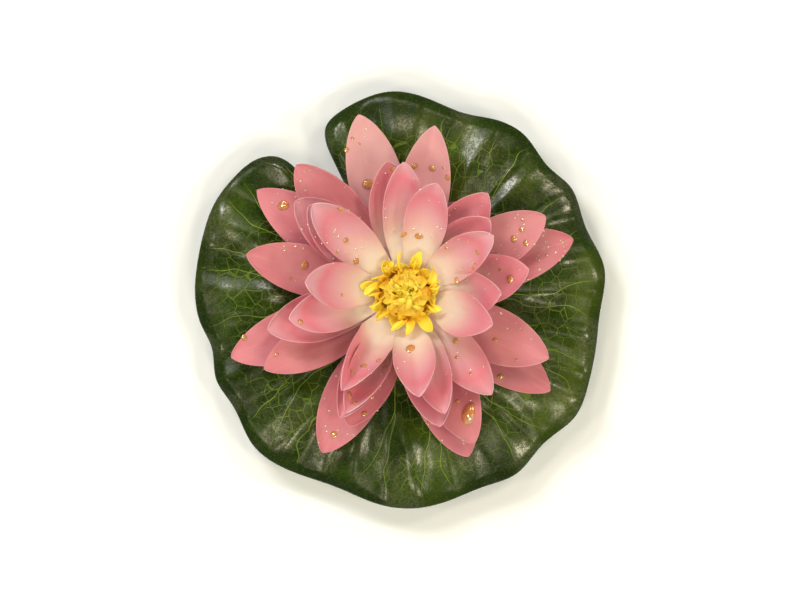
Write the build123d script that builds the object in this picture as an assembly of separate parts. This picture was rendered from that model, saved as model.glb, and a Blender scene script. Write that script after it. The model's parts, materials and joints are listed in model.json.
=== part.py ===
from build123d import *
import os
from math import asin, cos, degrees, hypot, radians, sin

# A floating pool light in the form of a water lily, in millimetres, +Z up.
# A round battery capsule stands on its foot rim at z = 0, centred on the Z axis. Its neck goes up through
# a foam float and a foam leaf, carries five formed petal blanks under a ring nut, and ends in a lens
# dome among the stamens. A coin-turned hatch and a sealed push button are in its base plate.

# ---- Driving dimensions -------------------------------------------------------------------------
# Leaf: one formed foam sheet, flat in the middle, with a wavy margin and a notch.
leaf_radius = 90.0        # mean radius of the margin
leaf_middle = (-2.2, -2.9)  # middle of the margin from the neck's axis
leaf_sheet = 2.5
leaf_flat_radius = 52.0   # the sheet is flat inside this radius
leaf_droop = 5.0          # the rim hangs this far below the flat middle
notch_sides = (128.2, 475.6)  # directions of the notch's two sides, in degrees about the leaf's middle
notch_shoulder = 19.0     # the sides are straight up to this far inside the mean radius
notch_depth_radius = 34.0  # the notch's inner end, from the leaf's middle
# Crests and troughs of the margin, counter-clockwise: direction in degrees, distance from the mean.
margin_waves = (
    (130.9, -6.1), (134.9, -1.7), (143, 1.0), (152, 2.2), (164, 1.1), (180, 0.1),
    (187, -1.8), (194, -4.5), (203, -2.0), (212, -3.1), (224, 0.6), (231, 0.5),
    (241, -2.0), (252, -3.3), (264, 0.0), (274, 1.4), (286, 0.0), (294, -0.5),
    (304, 1.5), (315, -1.2), (326, 2.0), (336, 0.4), (346, -1.6), (357, -2.1),
    (369, 0.7), (382, -2.4), (394, -0.1), (402, -2.3), (413, 0.9), (423, -0.4),
    (431, -2.9), (441, -0.8), (453, 2.0), (461, 0.0), (468, -2.9), (473, -6.5),
)

# Petals: five die-cut blanks, each formed over its own bowl and stacked on the neck.
petal_sheet = 1.0
petal_width = 23.0
petal_foot_width = 9.5
petal_tip = 1.4           # half width where the rounded tip begins
# For each blank, from the lowest: the rise of its longest petal, how far its bowl bulges down, and
# its petals as (direction in degrees, reach from the axis).
petal_blanks = (
    (9.0, 1.5, ((18, 77), (56, 48), (104.5, 81), (144, 79), (200, 81), (243, 78), (290, 76), (327, 76))),
    (21.0, 3.0, ((29, 69), (80, 74), (130, 73), (167, 71), (208.5, 69), (247, 62), (295, 71), (335, 68))),
    (30.0, 3.0, ((10, 54), (50, 56), (98, 58), (139, 62), (194, 61), (241, 60), (284, 59), (310, 57))),
    (37.0, 2.0, ((2, 40), (43, 48), (92, 56), (139, 56), (191, 50), (244, 57), (287, 53))),
    (44.0, 1.0, ((33.5, 43), (73, 48), (135, 54), (172.5, 42), (236, 48), (278, 44), (341, 37))),
)

# Stamens: a skirt of broad tabs and two slit crowns, on the ring nut.
stamen_sheet = 0.8
skirt_tabs = (
    (8, 14), (48, 14.5), (72, 18.5), (125, 17), (167, 19.5), (205, 15), (250, 14.5), (304, 19.5),
)
skirt_tab_width = 5.2
skirt_rise = 6.0
skirt_bulge = 0.5
outer_crown = (14, 13.0, 13.8, 0.8)  # blades, height, radius at the top, outward bulge
inner_crown = (11, 13.5, 6.0, 1.6)
crown_slit = 1.0
crown_gap = 0.3           # between the two crowns at their base

# Float and capsule.
float_radius = 42.0
float_height = 12.0
wall = 2.0
foot_recess = 1.6         # the base plate lies this far above the foot rim
plate_sheet = 2.4
gasket_sheet = 0.8
seal_ledge = 1.2          # width of the ledge that the base gasket seals on
edge_room = 2.9           # hatch or button to the chamber wall
hatch_button_web = 1.5
head_room = 3.4           # board to the chamber's ceiling

# Cells, hatch and button.
cell_radius = 10.0
cell_sheet = 3.2
cell_count = 2
hatch_skirt = 0.9         # hatch plug beyond the cell's radius
hatch_lip = 1.5           # hatch flange beyond the plug
hatch_flange = 1.0
lug_reach = 1.3
lug_height = 1.1
lug_count = 3
lug_angle = 36.0
hatch_turn = 60.0         # locked to unlocked
coin_slot = (14.0, 1.6, 0.8)
button_radius = 4.0
button_proud = 0.8        # below the base plate, still clear of the foot plane
button_guide = 2.5        # guide height above the base plate
button_lip = 1.0
button_travel = 0.5
stem_radius = 2.0

# Board and what stands on it.
board_sheet = 1.6
contact_height = 3.3      # board above the upper cell
contact_sheet = 0.3
contact_width = 3.0
switch_side = 6.0
switch_height = 3.5
plunger_radius = 1.75
plunger_reach = 2.5       # plunger below the switch body
plunger_root = 1.0        # plunger inside the switch body
led_radius = 2.5
led_barrel = 5.1
led_flange = 0.4
lead_side = 0.5
lead_pitch = 2.54
cradle_wall = 1.5
cradle_clearance = 0.4

# Neck, nut and lens.
neck_radius = 9.5
neck_wall = 2.0
nut_wall = 3.1            # neck to the nut's outside
nut_height = 4.0
neck_proud = 0.5          # neck above the nut
lens_gasket_sheet = 0.6
nut_grips = 12
lens_rim = 1.5            # neck's outside to the lens dome
lens_wall = 1.3
lens_spigot = 3.6

# Screws.
screw_shank = 1.0
screw_head = 2.1
screw_head_height = 1.2
screw_length = 8.0
plate_screw_angles = (60, 115, 245, 300)
boss_wall = 1.35

# Clearances.
turn_gap = 0.1            # a turning or pressed piece in its hole
fit_gap = 0.05            # assembled by hand and then still
o_ring = 0.34             # cord radius of both O-rings
o_ring_groove = 0.6       # depth of their grooves

# ---- Levels and places worked out from the driving dimensions -----------------------------------
plate_bottom = foot_recess
plate_top = plate_bottom + plate_sheet
plug_radius = cell_radius + hatch_skirt
flange_radius = plug_radius + hatch_lip
button_flange_radius = button_radius + button_lip
chamber_radius = edge_room + flange_radius + hatch_button_web / 2 + button_flange_radius
hatch_x = edge_room + flange_radius - chamber_radius
button_x = chamber_radius - edge_room - button_flange_radius
pocket_radius = chamber_radius + seal_ledge
capsule_radius = pocket_radius + wall
hatch_top = plate_top + turn_gap + lug_height
cell_bottom = hatch_top + turn_gap
cells_top = cell_bottom + cell_count * cell_sheet
board_bottom = cells_top + contact_height
board_top = board_bottom + board_sheet
ceiling = board_top + head_room
shoulder = ceiling + wall
leaf_top = shoulder + leaf_sheet
hub_top = leaf_top + len(petal_blanks) * petal_sheet
nut_top = hub_top + nut_height
neck_top = nut_top + neck_proud
lens_seat = neck_top + lens_gasket_sheet
neck_bore = neck_radius - neck_wall
nut_radius = neck_radius + nut_wall
lens_dome_radius = neck_radius - lens_rim
outer_crown_base = nut_radius - 0.75 * stamen_sheet
inner_crown_base = outer_crown_base - stamen_sheet - crown_gap
skirt_hub = outer_crown_base + 1.1 * stamen_sheet
petal_hubs = [nut_radius + petal_sheet * (1 + 0.8 * above) for above in reversed(range(len(petal_blanks)))]
boss_radius = screw_shank + boss_wall
boss_circle = chamber_radius - boss_radius + 0.4
post_y = chamber_radius - 2 * boss_radius
plunger_bottom = board_bottom - switch_height - plunger_reach
led_base = neck_top - 3.0
led_collar_radius = led_radius + 0.5
guide_top = plate_top + button_guide


# ---- Shapes used by several pieces --------------------------------------------------------------
def post(radius, bottom, top, x=0.0, y=0.0):
    """A round solid from one height to another."""
    standing = (Align.CENTER, Align.CENTER, Align.MIN)
    return Pos(x, y, bottom) * Cylinder(radius, top - bottom, align=standing)


def tube(outer, inner, bottom, top, x=0.0, y=0.0):
    """A round wall from one height to another."""
    return post(outer, bottom, top, x, y) - post(inner, bottom, top, x, y)


def ring(centre_radius, cord_radius, height, x=0.0, y=0.0):
    """An O-ring."""
    return Pos(x, y, height) * Torus(centre_radius, cord_radius)


def polar(radius, direction):
    """A point at a radius in a direction in degrees."""
    return radius * cos(radians(direction)), radius * sin(radians(direction))


def formed_bowl(start, end, bulge, sheet):
    """A sheet of even thickness turned about Z. Its lower side runs from start to end, each (radius,
    height), in one arc that bulges to the lower right of the line between them."""
    run, climb = end[0] - start[0], end[1] - start[1]
    chord = hypot(run, climb)
    across = Vector(-climb / chord, run / chord)
    arc_radius = (chord**2 / 4 + bulge**2) / (2 * bulge)
    middle = (Vector(*start) + Vector(*end)) / 2
    centre = middle + across * (arc_radius - bulge)
    shrink = 1 - sheet / arc_radius

    def upper(point):
        return centre + (point - centre) * shrink

    low = [Vector(*start), middle - across * bulge, Vector(*end)]
    high = [upper(point) for point in low]
    section = make_face(
        ThreePointArc(*low) + Line(low[2], high[2]) + ThreePointArc(*high) + Line(high[0], low[0])
    )
    return revolve(Plane.XZ * section, Axis.Z)


def tab_outline(direction, reach, width, foot_width, foot_radius, tip):
    """Top view of one petal or tab, widest a little past its middle, with a small round tip."""
    widest = foot_radius + 0.56 * (reach - foot_radius)
    tip_start = reach - 0.8 * tip
    lean = 0.9 * width / (reach - foot_radius)
    points = [(foot_radius, foot_width / 2), (widest, width / 2), (tip_start, tip)]
    side = Spline(points, tangents=[(1, lean / 2), (1, -1.6 * lean)], tangent_scalars=[1, 1])
    other_side = mirror(side, about=Plane.XZ)
    end = ThreePointArc((tip_start, tip), (reach, 0), (tip_start, -tip))
    foot = Line((foot_radius, foot_width / 2), (foot_radius, -foot_width / 2))
    return Rot(0, 0, direction) * make_face(side + end + other_side + foot)


def formed_blank(tabs, hub, hole, bottom, rise, bulge, sheet, width, foot_width, tip):
    """A die-cut blank: a flat hub with a hole, and tabs formed over a bowl."""
    reach = max(reach for _, reach in tabs)
    bowl = formed_bowl((hub - sheet / 2, bottom), (reach, bottom + rise), bulge, sheet)
    foot = hub - 2 * sheet
    outlines = Sketch() + [
        tab_outline(direction, length, width, foot_width, foot, tip) for direction, length in tabs
    ]
    spare = 10 * sheet
    cutter = Pos(0, 0, bottom - spare) * extrude(outlines, rise + 2 * spare)
    return (bowl & cutter) + tube(hub, hole, bottom, bottom + sheet)


def screw(x, y, head_bottom, length):
    """A self-tapping screw driven upwards, with a cross recess in its head."""
    head_top = head_bottom + screw_head_height
    head = post(screw_head, head_bottom, head_top, x, y)
    body = head + post(screw_shank, head_top, head_top + length, x, y)
    for turn in (0, 90):
        slot = Box(2.4, 0.5, 1.2)
        body -= Pos(x, y, head_bottom) * Rot(0, 0, turn) * slot
    return body


# ---- Leaf, float, petals and stamens ------------------------------------------------------------
def leaf_outline():
    """The wavy margin with its notch, seen from above."""
    middle_x, middle_y = leaf_middle

    def at(direction, radius):
        x, y = polar(radius, direction)
        return middle_x + x, middle_y + y

    first, last = notch_sides
    shoulder_radius = leaf_radius - notch_shoulder
    crests = [at(direction, leaf_radius + wave) for direction, wave in margin_waves]
    points = [at(first, shoulder_radius), *crests, at(last, shoulder_radius)]
    margin = Spline(*points, tangents=[polar(1, first), polar(-1, last)], tangent_scalars=[1, 1])
    inner_left = at(first, notch_depth_radius)
    inner_right = at(last, notch_depth_radius)
    end = at((first + last - 360) / 2, notch_depth_radius - 3.0)
    right_side = Line(points[-1], inner_right)
    left_side = Line(inner_left, points[0])
    return make_face(margin + right_side + ThreePointArc(inner_right, end, inner_left) + left_side)


def leaf_pad():
    """The foam leaf, with a flat middle and a drooping wavy rim."""
    run = leaf_radius + hypot(*leaf_middle) + 4.0 - leaf_flat_radius
    bend = (run**2 + leaf_droop**2) / (2 * leaf_droop)
    bend_centre = (leaf_flat_radius, shoulder - bend)
    turn = degrees(asin(run / bend))
    under = CenterArc(bend_centre, bend, 90, -turn)
    over = CenterArc(bend_centre, bend + leaf_sheet, 90, -turn)
    hole = neck_radius + turn_gap
    middle = Polyline(over @ 0, (hole, leaf_top), (hole, shoulder), under @ 0)
    sheet = revolve(Plane.XZ * make_face(under + Line(under @ 1, over @ 1) + over + middle), Axis.Z)
    return sheet & Pos(0, 0, shoulder - 3 * leaf_droop) * extrude(leaf_outline(), 6 * leaf_droop)


def float_ring():
    """The closed-cell foam ring under the leaf, with softened edges."""
    body = tube(float_radius, capsule_radius + fit_gap, shoulder - float_height, shoulder)
    lower_rim = body.edges().filter_by(GeomType.CIRCLE).sort_by(Axis.Z)[:2]
    return fillet([edge for edge in lower_rim if edge.radius > capsule_radius + 1], 2.0)


def petal_blank(index):
    """One of the five stacked petal blanks, counted from the lowest."""
    rise, bulge, petals = petal_blanks[index]
    return formed_blank(
        petals, petal_hubs[index], neck_radius + turn_gap, leaf_top + index * petal_sheet, rise, bulge,
        petal_sheet, petal_width, petal_foot_width, petal_tip,
    )


def stamen_skirt():
    """The lowest yellow blank, with broad tabs that show outside the crowns."""
    return formed_blank(
        skirt_tabs, skirt_hub, neck_radius + turn_gap, nut_top, skirt_rise, skirt_bulge,
        stamen_sheet, skirt_tab_width, 0.75 * skirt_tab_width, 0.8,
    )


def stamen_crown(level, base_radius, crown):
    """A rolled strip slit into blades that stand up from a flat base ring."""
    blades, height, top_radius, bulge = crown
    bottom = nut_top + level * stamen_sheet
    slit_bottom = bottom + 2.2 * stamen_sheet
    wall_strip = formed_bowl((base_radius, bottom), (top_radius, bottom + height), bulge, stamen_sheet)
    for blade in range(blades):
        slit = Pos(nut_radius, 0, slit_bottom + height) * Box(2 * nut_radius, crown_slit, 2 * height)
        wall_strip -= Rot(0, 0, blade * 360 / blades) * slit
    return wall_strip + tube(base_radius, neck_radius + turn_gap, bottom, bottom + stamen_sheet)


# ---- Capsule ------------------------------------------------------------------------------------
def boss_places():
    """The four plate-screw bosses, on a circle in the chamber."""
    return [polar(boss_circle, angle) for angle in plate_screw_angles]


def post_places():
    """The two posts that the circuit board is screwed to."""
    return [(0.0, post_y), (0.0, -post_y)]


def capsule_body():
    """The moulded housing: foot rim, plate pocket, chamber, shoulder and neck in one piece."""
    body = post(capsule_radius, 0, shoulder) + post(neck_radius, shoulder, neck_top)
    body -= post(pocket_radius, 0, plate_top + gasket_sheet)
    body -= post(chamber_radius, plate_top, ceiling)
    body -= post(neck_bore, ceiling - 1, neck_top)
    for x, y in boss_places():
        body += post(boss_radius, plate_top, ceiling + 0.5, x, y)
        body -= post(screw_shank + fit_gap, plate_top, plate_top + screw_length, x, y)
    for x, y in post_places():
        body += post(boss_radius, board_top, ceiling + 0.5, x, y)
        body -= post(screw_shank + fit_gap, board_top, ceiling, x, y)
    return body - tube(pocket_radius, chamber_radius, plate_top, plate_top + gasket_sheet)


def base_gasket():
    """The flat rubber ring between the base plate and the housing's ledge."""
    return tube(pocket_radius - fit_gap, chamber_radius + fit_gap, plate_top, plate_top + gasket_sheet)


def lug_wedges(outer, bottom, top, spare, turn):
    """Three bayonet sectors about the hatch's axis, turned from the locked place."""
    half = lug_angle / 2 + spare
    sector = make_face(Polyline((0, 0), polar(2 * outer, -half), polar(2 * outer, half), (0, 0)))
    wedge = Pos(0, 0, bottom) * extrude(sector, top - bottom)
    disc = post(outer, bottom, top)
    wedges = [Rot(0, 0, turn + 360 / lug_count * i) * wedge & disc for i in range(lug_count)]
    return Pos(hatch_x, 0, 0) * (Part() + wedges)


def base_plate():
    """The plate that closes the capsule, with the hatch's seat, the button's guide and screw pockets."""
    plate = post(pocket_radius - fit_gap, plate_bottom, plate_top)
    plate += post(button_radius + button_lip + 0.5, plate_bottom, guide_top, button_x)
    plate -= post(button_radius + turn_gap, plate_bottom, guide_top, button_x)
    plate -= post(plug_radius + turn_gap, plate_bottom, plate_top, hatch_x)
    plate -= post(flange_radius + turn_gap, plate_bottom, plate_bottom + hatch_flange + turn_gap, hatch_x)
    lug_radius = plug_radius + lug_reach
    plate -= lug_wedges(lug_radius + turn_gap, plate_bottom, plate_top, 2.0, hatch_turn)
    for x, y in boss_places():
        plate -= post(screw_head + turn_gap, plate_bottom, plate_bottom + screw_head_height, x, y)
        plate -= post(screw_shank + turn_gap, plate_bottom, plate_top, x, y)
    return plate


def plate_screws():
    """Four screws through the base plate into the capsule's bosses."""
    reach = plate_sheet - screw_head_height + screw_length - 1.0
    return [screw(x, y, plate_bottom, reach) for x, y in boss_places()]


def hatch_seal_height():
    """The hatch's O-ring sits halfway between its flange and the plate's inner face."""
    return (plate_bottom + hatch_flange + plate_top) / 2


def battery_hatch():
    """The coin-turned bayonet hatch under the cells."""
    hatch = post(flange_radius, plate_bottom, plate_bottom + hatch_flange, hatch_x)
    hatch += post(plug_radius, plate_bottom, hatch_top, hatch_x)
    hatch += lug_wedges(plug_radius + lug_reach, plate_top + turn_gap, hatch_top, 0.0, 0.0)
    length, width, depth = coin_slot
    hatch -= Pos(hatch_x, 0, plate_bottom) * Box(length, width, 2 * depth)
    height = hatch_seal_height()
    floor = plug_radius - o_ring_groove
    return hatch - tube(plug_radius + 1, floor, height - o_ring, height + o_ring, hatch_x)


def hatch_seal():
    """The O-ring in the hatch's groove."""
    return ring(plug_radius - o_ring_groove + o_ring, o_ring, hatch_seal_height(), hatch_x)


def button_seal_height():
    """The button's O-ring sits halfway up the guide."""
    return (plate_bottom + guide_top) / 2


def power_button():
    """The sealed push button: a piston with a groove, a stop flange and a stem to the switch."""
    bottom = plate_bottom - button_proud
    flange_bottom = guide_top + fit_gap
    button = post(button_radius, bottom, flange_bottom + 0.1, button_x)
    button = fillet(button.edges().filter_by(GeomType.CIRCLE).sort_by(Axis.Z)[0], 0.5)
    groove = button_seal_height()
    floor = button_radius - o_ring_groove
    button -= tube(button_radius + 1, floor, groove - o_ring, groove + o_ring, button_x)
    button += post(button_flange_radius, flange_bottom, flange_bottom + 1.0, button_x)
    return button + post(stem_radius, flange_bottom, plunger_bottom - fit_gap / 2, button_x)


def button_seal():
    """The O-ring in the button's groove."""
    return ring(button_radius - o_ring_groove + o_ring, o_ring, button_seal_height(), button_x)


# ---- Inside the capsule -------------------------------------------------------------------------
def battery_cell(index):
    """A coin cell: a can with a rounded edge and a smaller raised cap on top."""
    bottom = cell_bottom + index * cell_sheet
    cap = 0.35
    can = post(cell_radius, bottom, bottom + cell_sheet - cap, hatch_x)
    can = fillet(can.edges().filter_by(GeomType.CIRCLE).sort_by(Axis.Z)[0], 0.5)
    return can + post(0.86 * cell_radius, bottom, bottom + cell_sheet, hatch_x)


def battery_cradle():
    """The ring that keeps the cells in line between the hatch and the board."""
    inner = cell_radius + cradle_clearance
    return tube(inner + cradle_wall, inner, hatch_top + 3 * turn_gap, board_bottom, hatch_x)


def side_contact():
    """The curved strip between the cells' cans and the cradle, soldered to the board."""
    outer = cell_radius + cradle_clearance - fit_gap
    strip = tube(outer, cell_radius + fit_gap, cell_bottom + 0.8, board_bottom, hatch_x)
    return strip & Pos(hatch_x, cell_radius, board_bottom - 20) * Box(4.0, 6.0, 60.0)


def spring_contact():
    """The bent leaf spring from the board down to the upper cell's cap."""
    drop = contact_height - contact_sheet - fit_gap
    under = [(-5.0, 0.0), (-1.0, 0.0), (3.5, -drop), (5.0, 0.7 - drop)]
    lower = [(x, z - contact_sheet) for x, z in reversed(under)]
    strip = make_face(Polyline(*under, *lower, under[0]))
    return Pos(hatch_x, 0, board_bottom) * extrude(Plane.XZ * strip, contact_width / 2, both=True)


def circuit_board():
    """The round board, cut away round the plate bosses, with holes for its screws and the LED's leads."""
    board = post(chamber_radius - 0.3, board_bottom, board_top)
    for x, y in boss_places():
        board -= post(boss_radius + 0.4, board_bottom, board_top, x, y)
    for x, y in post_places():
        board -= post(screw_shank + turn_gap, board_bottom, board_top, x, y)
    for side in (-1, 1):
        board -= post(lead_side, board_bottom, board_top, 0, side * lead_pitch / 2)
    return board


def board_screws():
    """Two screws from below, through the board into its posts."""
    reach = board_sheet + head_room - 0.6
    return [screw(x, y, board_bottom - screw_head_height, reach) for x, y in post_places()]


def switch_body():
    """The tactile switch under the board, with a bore for its plunger."""
    bottom = board_bottom - switch_height
    body = Pos(button_x, 0, bottom + switch_height / 2) * Box(switch_side, switch_side, switch_height)
    bore_top = bottom + plunger_root + button_travel + 0.4
    return body - post(plunger_radius + turn_gap, bottom, bore_top, button_x)


def switch_plunger():
    """The switch's plunger, which the button's stem pushes."""
    return post(plunger_radius, plunger_bottom, board_bottom - switch_height + plunger_root, button_x)


def led_lamp():
    """A round-nosed LED with its base flange."""
    barrel_top = led_base + 1.0 + led_barrel
    lamp = post(led_radius + led_flange, led_base, led_base + 1.0)
    lamp += post(led_radius, led_base, barrel_top)
    return lamp + Pos(0, 0, barrel_top) * Sphere(led_radius)


def led_leads():
    """The LED's two square leads, down through the board."""
    height = led_base - board_bottom + 1.0
    return [
        Pos(0, side * lead_pitch / 2, led_base - height / 2) * Box(lead_side, lead_side, height)
        for side in (-1, 1)
    ]


def led_collar():
    """The spacer tube that holds the LED up in the neck."""
    return tube(led_collar_radius, lead_pitch / 2 + lead_side, board_top, led_base)


def resistor():
    """An axial resistor on the board, its ends bent down."""
    x, y, axis_height, length, radius = 9.0, 0.0, board_top + 1.3, 6.0, 1.1
    body = Pos(x, y, axis_height) * Rot(90, 0, 0) * Cylinder(radius, length)
    body += Pos(x, y, axis_height) * Box(0.5, length + 3.0, 0.5)
    for side in (-1, 1):
        body += Pos(x, y + side * (length / 2 + 1.25), (board_top + axis_height) / 2) * Box(
            0.5, 0.5, axis_height - board_top
        )
    return body


def driver_chip():
    """The small chip that drives the LED, with four pins a side."""
    x, body_height = -9.0, 1.4
    chip = Pos(x, 0, board_top + 0.2 + body_height / 2) * Box(4.0, 5.0, body_height)
    for side in (-1, 1):
        for pin in range(4):
            chip += Pos(x + side * 2.4, 1.27 * (pin - 1.5), board_top + 0.35) * Box(1.4, 0.4, 0.7)
    return chip


# ---- Neck ---------------------------------------------------------------------------------------
def ring_nut():
    """The nut that clamps the petals and the leaf on the shoulder, with scalloped grips."""
    nut = tube(nut_radius, neck_radius + fit_gap, hub_top, nut_top)
    for grip in range(nut_grips):
        x, y = polar(nut_radius + 0.5, grip * 360 / nut_grips)
        nut -= post(1.1, hub_top, nut_top, x, y)
    return nut


def lens_gasket():
    """The flat ring between the neck and the lens."""
    return tube(neck_radius - 0.1, neck_bore + fit_gap, neck_top, lens_seat)


def lens_dome():
    """The diffuser: a spigot in the neck, a flange and a dome over the LED."""
    flange_top = lens_seat + 1.0
    spigot = neck_bore - fit_gap
    dome = post(neck_radius - 0.1, lens_seat, flange_top)
    dome += post(spigot, lens_seat - lens_spigot, lens_seat)
    cap = Sphere(lens_dome_radius) & post(2 * lens_dome_radius, 0, 2 * lens_dome_radius)
    dome += Pos(0, 0, flange_top) * cap
    inner = lens_dome_radius - lens_wall
    hollow = Pos(0, 0, flange_top) * Sphere(inner) & post(20, flange_top, flange_top + 20)
    dome -= hollow + post(spigot - lens_wall, lens_seat - lens_spigot, flange_top)
    return dome


# ---- Write one STEP file per piece --------------------------------------------------------------
pieces = {
    "leaf_pad": leaf_pad(),
    "float_ring": float_ring(),
    "stamen_skirt": stamen_skirt(),
    "stamen_crown_outer": stamen_crown(1, outer_crown_base, outer_crown),
    "stamen_crown_inner": stamen_crown(2, inner_crown_base, inner_crown),
    "ring_nut": ring_nut(),
    "lens_gasket": lens_gasket(),
    "lens_dome": lens_dome(),
    "capsule_body": capsule_body(),
    "base_gasket": base_gasket(),
    "base_plate": base_plate(),
    "plate_screws": plate_screws(),
    "battery_hatch": battery_hatch(),
    "hatch_seal": hatch_seal(),
    "power_button": power_button(),
    "button_seal": button_seal(),
    "switch_plunger": switch_plunger(),
    "switch_body": switch_body(),
    "battery_cradle": battery_cradle(),
    "side_contact": side_contact(),
    "spring_contact": spring_contact(),
    "circuit_board": circuit_board(),
    "board_screws": board_screws(),
    "led_lamp": led_lamp(),
    "led_leads": led_leads(),
    "led_collar": led_collar(),
    "resistor": resistor(),
    "driver_chip": driver_chip(),
}
for index in range(len(petal_blanks)):
    pieces[f"petal_blank_{index + 1}"] = petal_blank(index)
for index, name in enumerate(("battery_cell_lower", "battery_cell_upper")):
    pieces[name] = battery_cell(index)

os.makedirs("parts", exist_ok=True)
for name, shape in pieces.items():
    solids = shape if isinstance(shape, list) else [shape]
    export_step(Compound(children=solids) if len(solids) > 1 else solids[0], f"parts/{name}.step")
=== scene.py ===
"""Water-lily pool light: the finished looks round the packed model, laid out as an add-on.

Each operator makes one piece, or a group of like pieces, in metres and in the frame's own coordinates.
"""

import json
import math
import random

import bmesh
import bpy
import numpy as np
from bpy.props import FloatProperty, FloatVectorProperty, IntProperty, PointerProperty
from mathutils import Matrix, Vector, noise
from mathutils.bvhtree import BVHTree
from mathutils.geometry import delaunay_2d_cdt
from mathutils.kdtree import KDTree

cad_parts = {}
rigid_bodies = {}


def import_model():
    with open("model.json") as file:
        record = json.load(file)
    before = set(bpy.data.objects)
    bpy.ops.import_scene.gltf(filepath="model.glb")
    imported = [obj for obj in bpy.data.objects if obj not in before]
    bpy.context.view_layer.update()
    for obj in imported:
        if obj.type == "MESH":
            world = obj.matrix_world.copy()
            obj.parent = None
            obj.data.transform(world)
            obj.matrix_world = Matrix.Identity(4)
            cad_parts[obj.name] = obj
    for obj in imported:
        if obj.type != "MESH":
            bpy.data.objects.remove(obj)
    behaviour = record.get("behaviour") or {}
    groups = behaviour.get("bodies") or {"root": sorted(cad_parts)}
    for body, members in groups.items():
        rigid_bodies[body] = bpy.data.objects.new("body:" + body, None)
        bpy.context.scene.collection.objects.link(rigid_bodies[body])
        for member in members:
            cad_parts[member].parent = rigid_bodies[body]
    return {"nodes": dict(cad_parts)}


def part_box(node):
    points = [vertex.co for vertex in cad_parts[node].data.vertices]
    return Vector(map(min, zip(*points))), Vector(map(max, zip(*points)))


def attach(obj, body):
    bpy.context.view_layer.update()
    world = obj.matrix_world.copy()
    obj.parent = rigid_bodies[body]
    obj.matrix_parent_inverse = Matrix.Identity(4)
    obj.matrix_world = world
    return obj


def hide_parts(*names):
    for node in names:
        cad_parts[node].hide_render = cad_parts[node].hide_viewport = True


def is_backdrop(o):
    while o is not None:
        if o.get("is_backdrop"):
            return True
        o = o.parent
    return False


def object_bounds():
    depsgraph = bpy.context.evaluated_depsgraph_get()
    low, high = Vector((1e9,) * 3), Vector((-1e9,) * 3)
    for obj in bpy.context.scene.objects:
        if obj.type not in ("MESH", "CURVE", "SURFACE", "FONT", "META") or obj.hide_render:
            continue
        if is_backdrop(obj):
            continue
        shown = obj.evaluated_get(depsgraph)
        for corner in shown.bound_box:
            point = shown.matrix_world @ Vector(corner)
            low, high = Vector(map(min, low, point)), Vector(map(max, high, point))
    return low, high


bl_info = {
    "name": "Water lily pool light",
    "version": (1, 0, 0),
    "blender": (4, 5, 0),
    "location": "View3D > Sidebar > Lily",
    "description": "Builds the leaf, petals, stamens, dew and finishes of a floating pool light",
    "category": "Add Mesh",
}

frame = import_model()
CAD_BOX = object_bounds()
MM = 0.001
TIERS = 5


def srgb(red, green, blue):
    """A linear colour from display values of 0 to 255."""
    values = [channel / 255 for channel in (red, green, blue)]
    return tuple(v / 12.92 if v <= 0.04045 else ((v + 0.055) / 1.055) ** 2.4 for v in values)


def colour_property(name, description, default):
    """A colour that a user can pick."""
    return FloatVectorProperty(
        name=name, description=description, default=default, subtype="COLOR", size=3, min=0, max=1,
    )


def length_property(name, description, default):
    """A length in metres."""
    return FloatProperty(
        name=name, description=description, default=default, min=0, unit="LENGTH", precision=5,
    )


def count_property(name, description, default, least=0):
    """A whole number."""
    return IntProperty(name=name, description=description, default=default, min=least)


# ---- Settings -----------------------------------------------------------------------------------
class LilyLeafSettings(bpy.types.PropertyGroup):
    """Sizes and colours of the leaf."""

    spacing: length_property("Mesh spacing", "Distance between the leaf's mesh points", 1.3 * MM)
    bulge: length_property("Bulge height", "How far the leaf rises between its main veins", 2.8 * MM)
    curl: length_property("Rim curl", "How far the margin turns down", 1.0 * MM)
    curl_width: length_property("Rim curl width", "How far in from the margin the curl begins", 4.6 * MM)
    pucker: length_property("Pucker", "Height of the small folds that run out to the margin", 0.75 * MM)
    veins: count_property("Veins", "Number of main veins", 15, 5)
    vein_width: length_property("Vein width", "Width of a main vein near the middle", 0.70 * MM)
    cell: length_property("Net size", "Size of one mesh of the vein net", 6.2 * MM)
    dark: colour_property("Dark green", "Deepest green of the leaf", srgb(24, 40, 2))
    green: colour_property("Green", "Main green of the leaf", srgb(44, 65, 5))
    olive: colour_property("Olive", "Lighter, dustier green", srgb(74, 90, 18))
    vein: colour_property("Vein", "Lime of the veins", srgb(132, 162, 52))
    # Painted highlight: this tan is mixed a little into the green in the rubbed gloss patches, for the warm
    # light they reflect.
    wear_and_sheen: colour_property("Worn", "Tan of the polished, rubbed patches", srgb(150, 142, 92))


class LilyPetalSettings(bpy.types.PropertyGroup):
    """Sizes and colours of the petals."""

    sheet: length_property("Sheet", "Thickness of a petal", 0.42 * MM)
    width: length_property("Width", "Widest part of a petal", 23.0 * MM)
    foot: length_property("Foot width", "Width of a petal at the hub", 10.0 * MM)
    seed: count_property("Seed", "Seed of the petals' small differences", 11)
    cream: colour_property("Cream", "Inner petals at their foot", srgb(236, 218, 208))
    blush: colour_property("Blush", "Between cream and pink", srgb(234, 186, 186))
    pink: colour_property("Pink", "Main pink", srgb(230, 167, 182))
    rose: colour_property("Rose", "Strongest pink", srgb(231, 130, 150))
    dusty: colour_property("Dusty pink", "Lowest petals", srgb(201, 106, 119))
    edge: colour_property("Edge", "Cut edge of the sheet", srgb(238, 172, 168))


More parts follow.
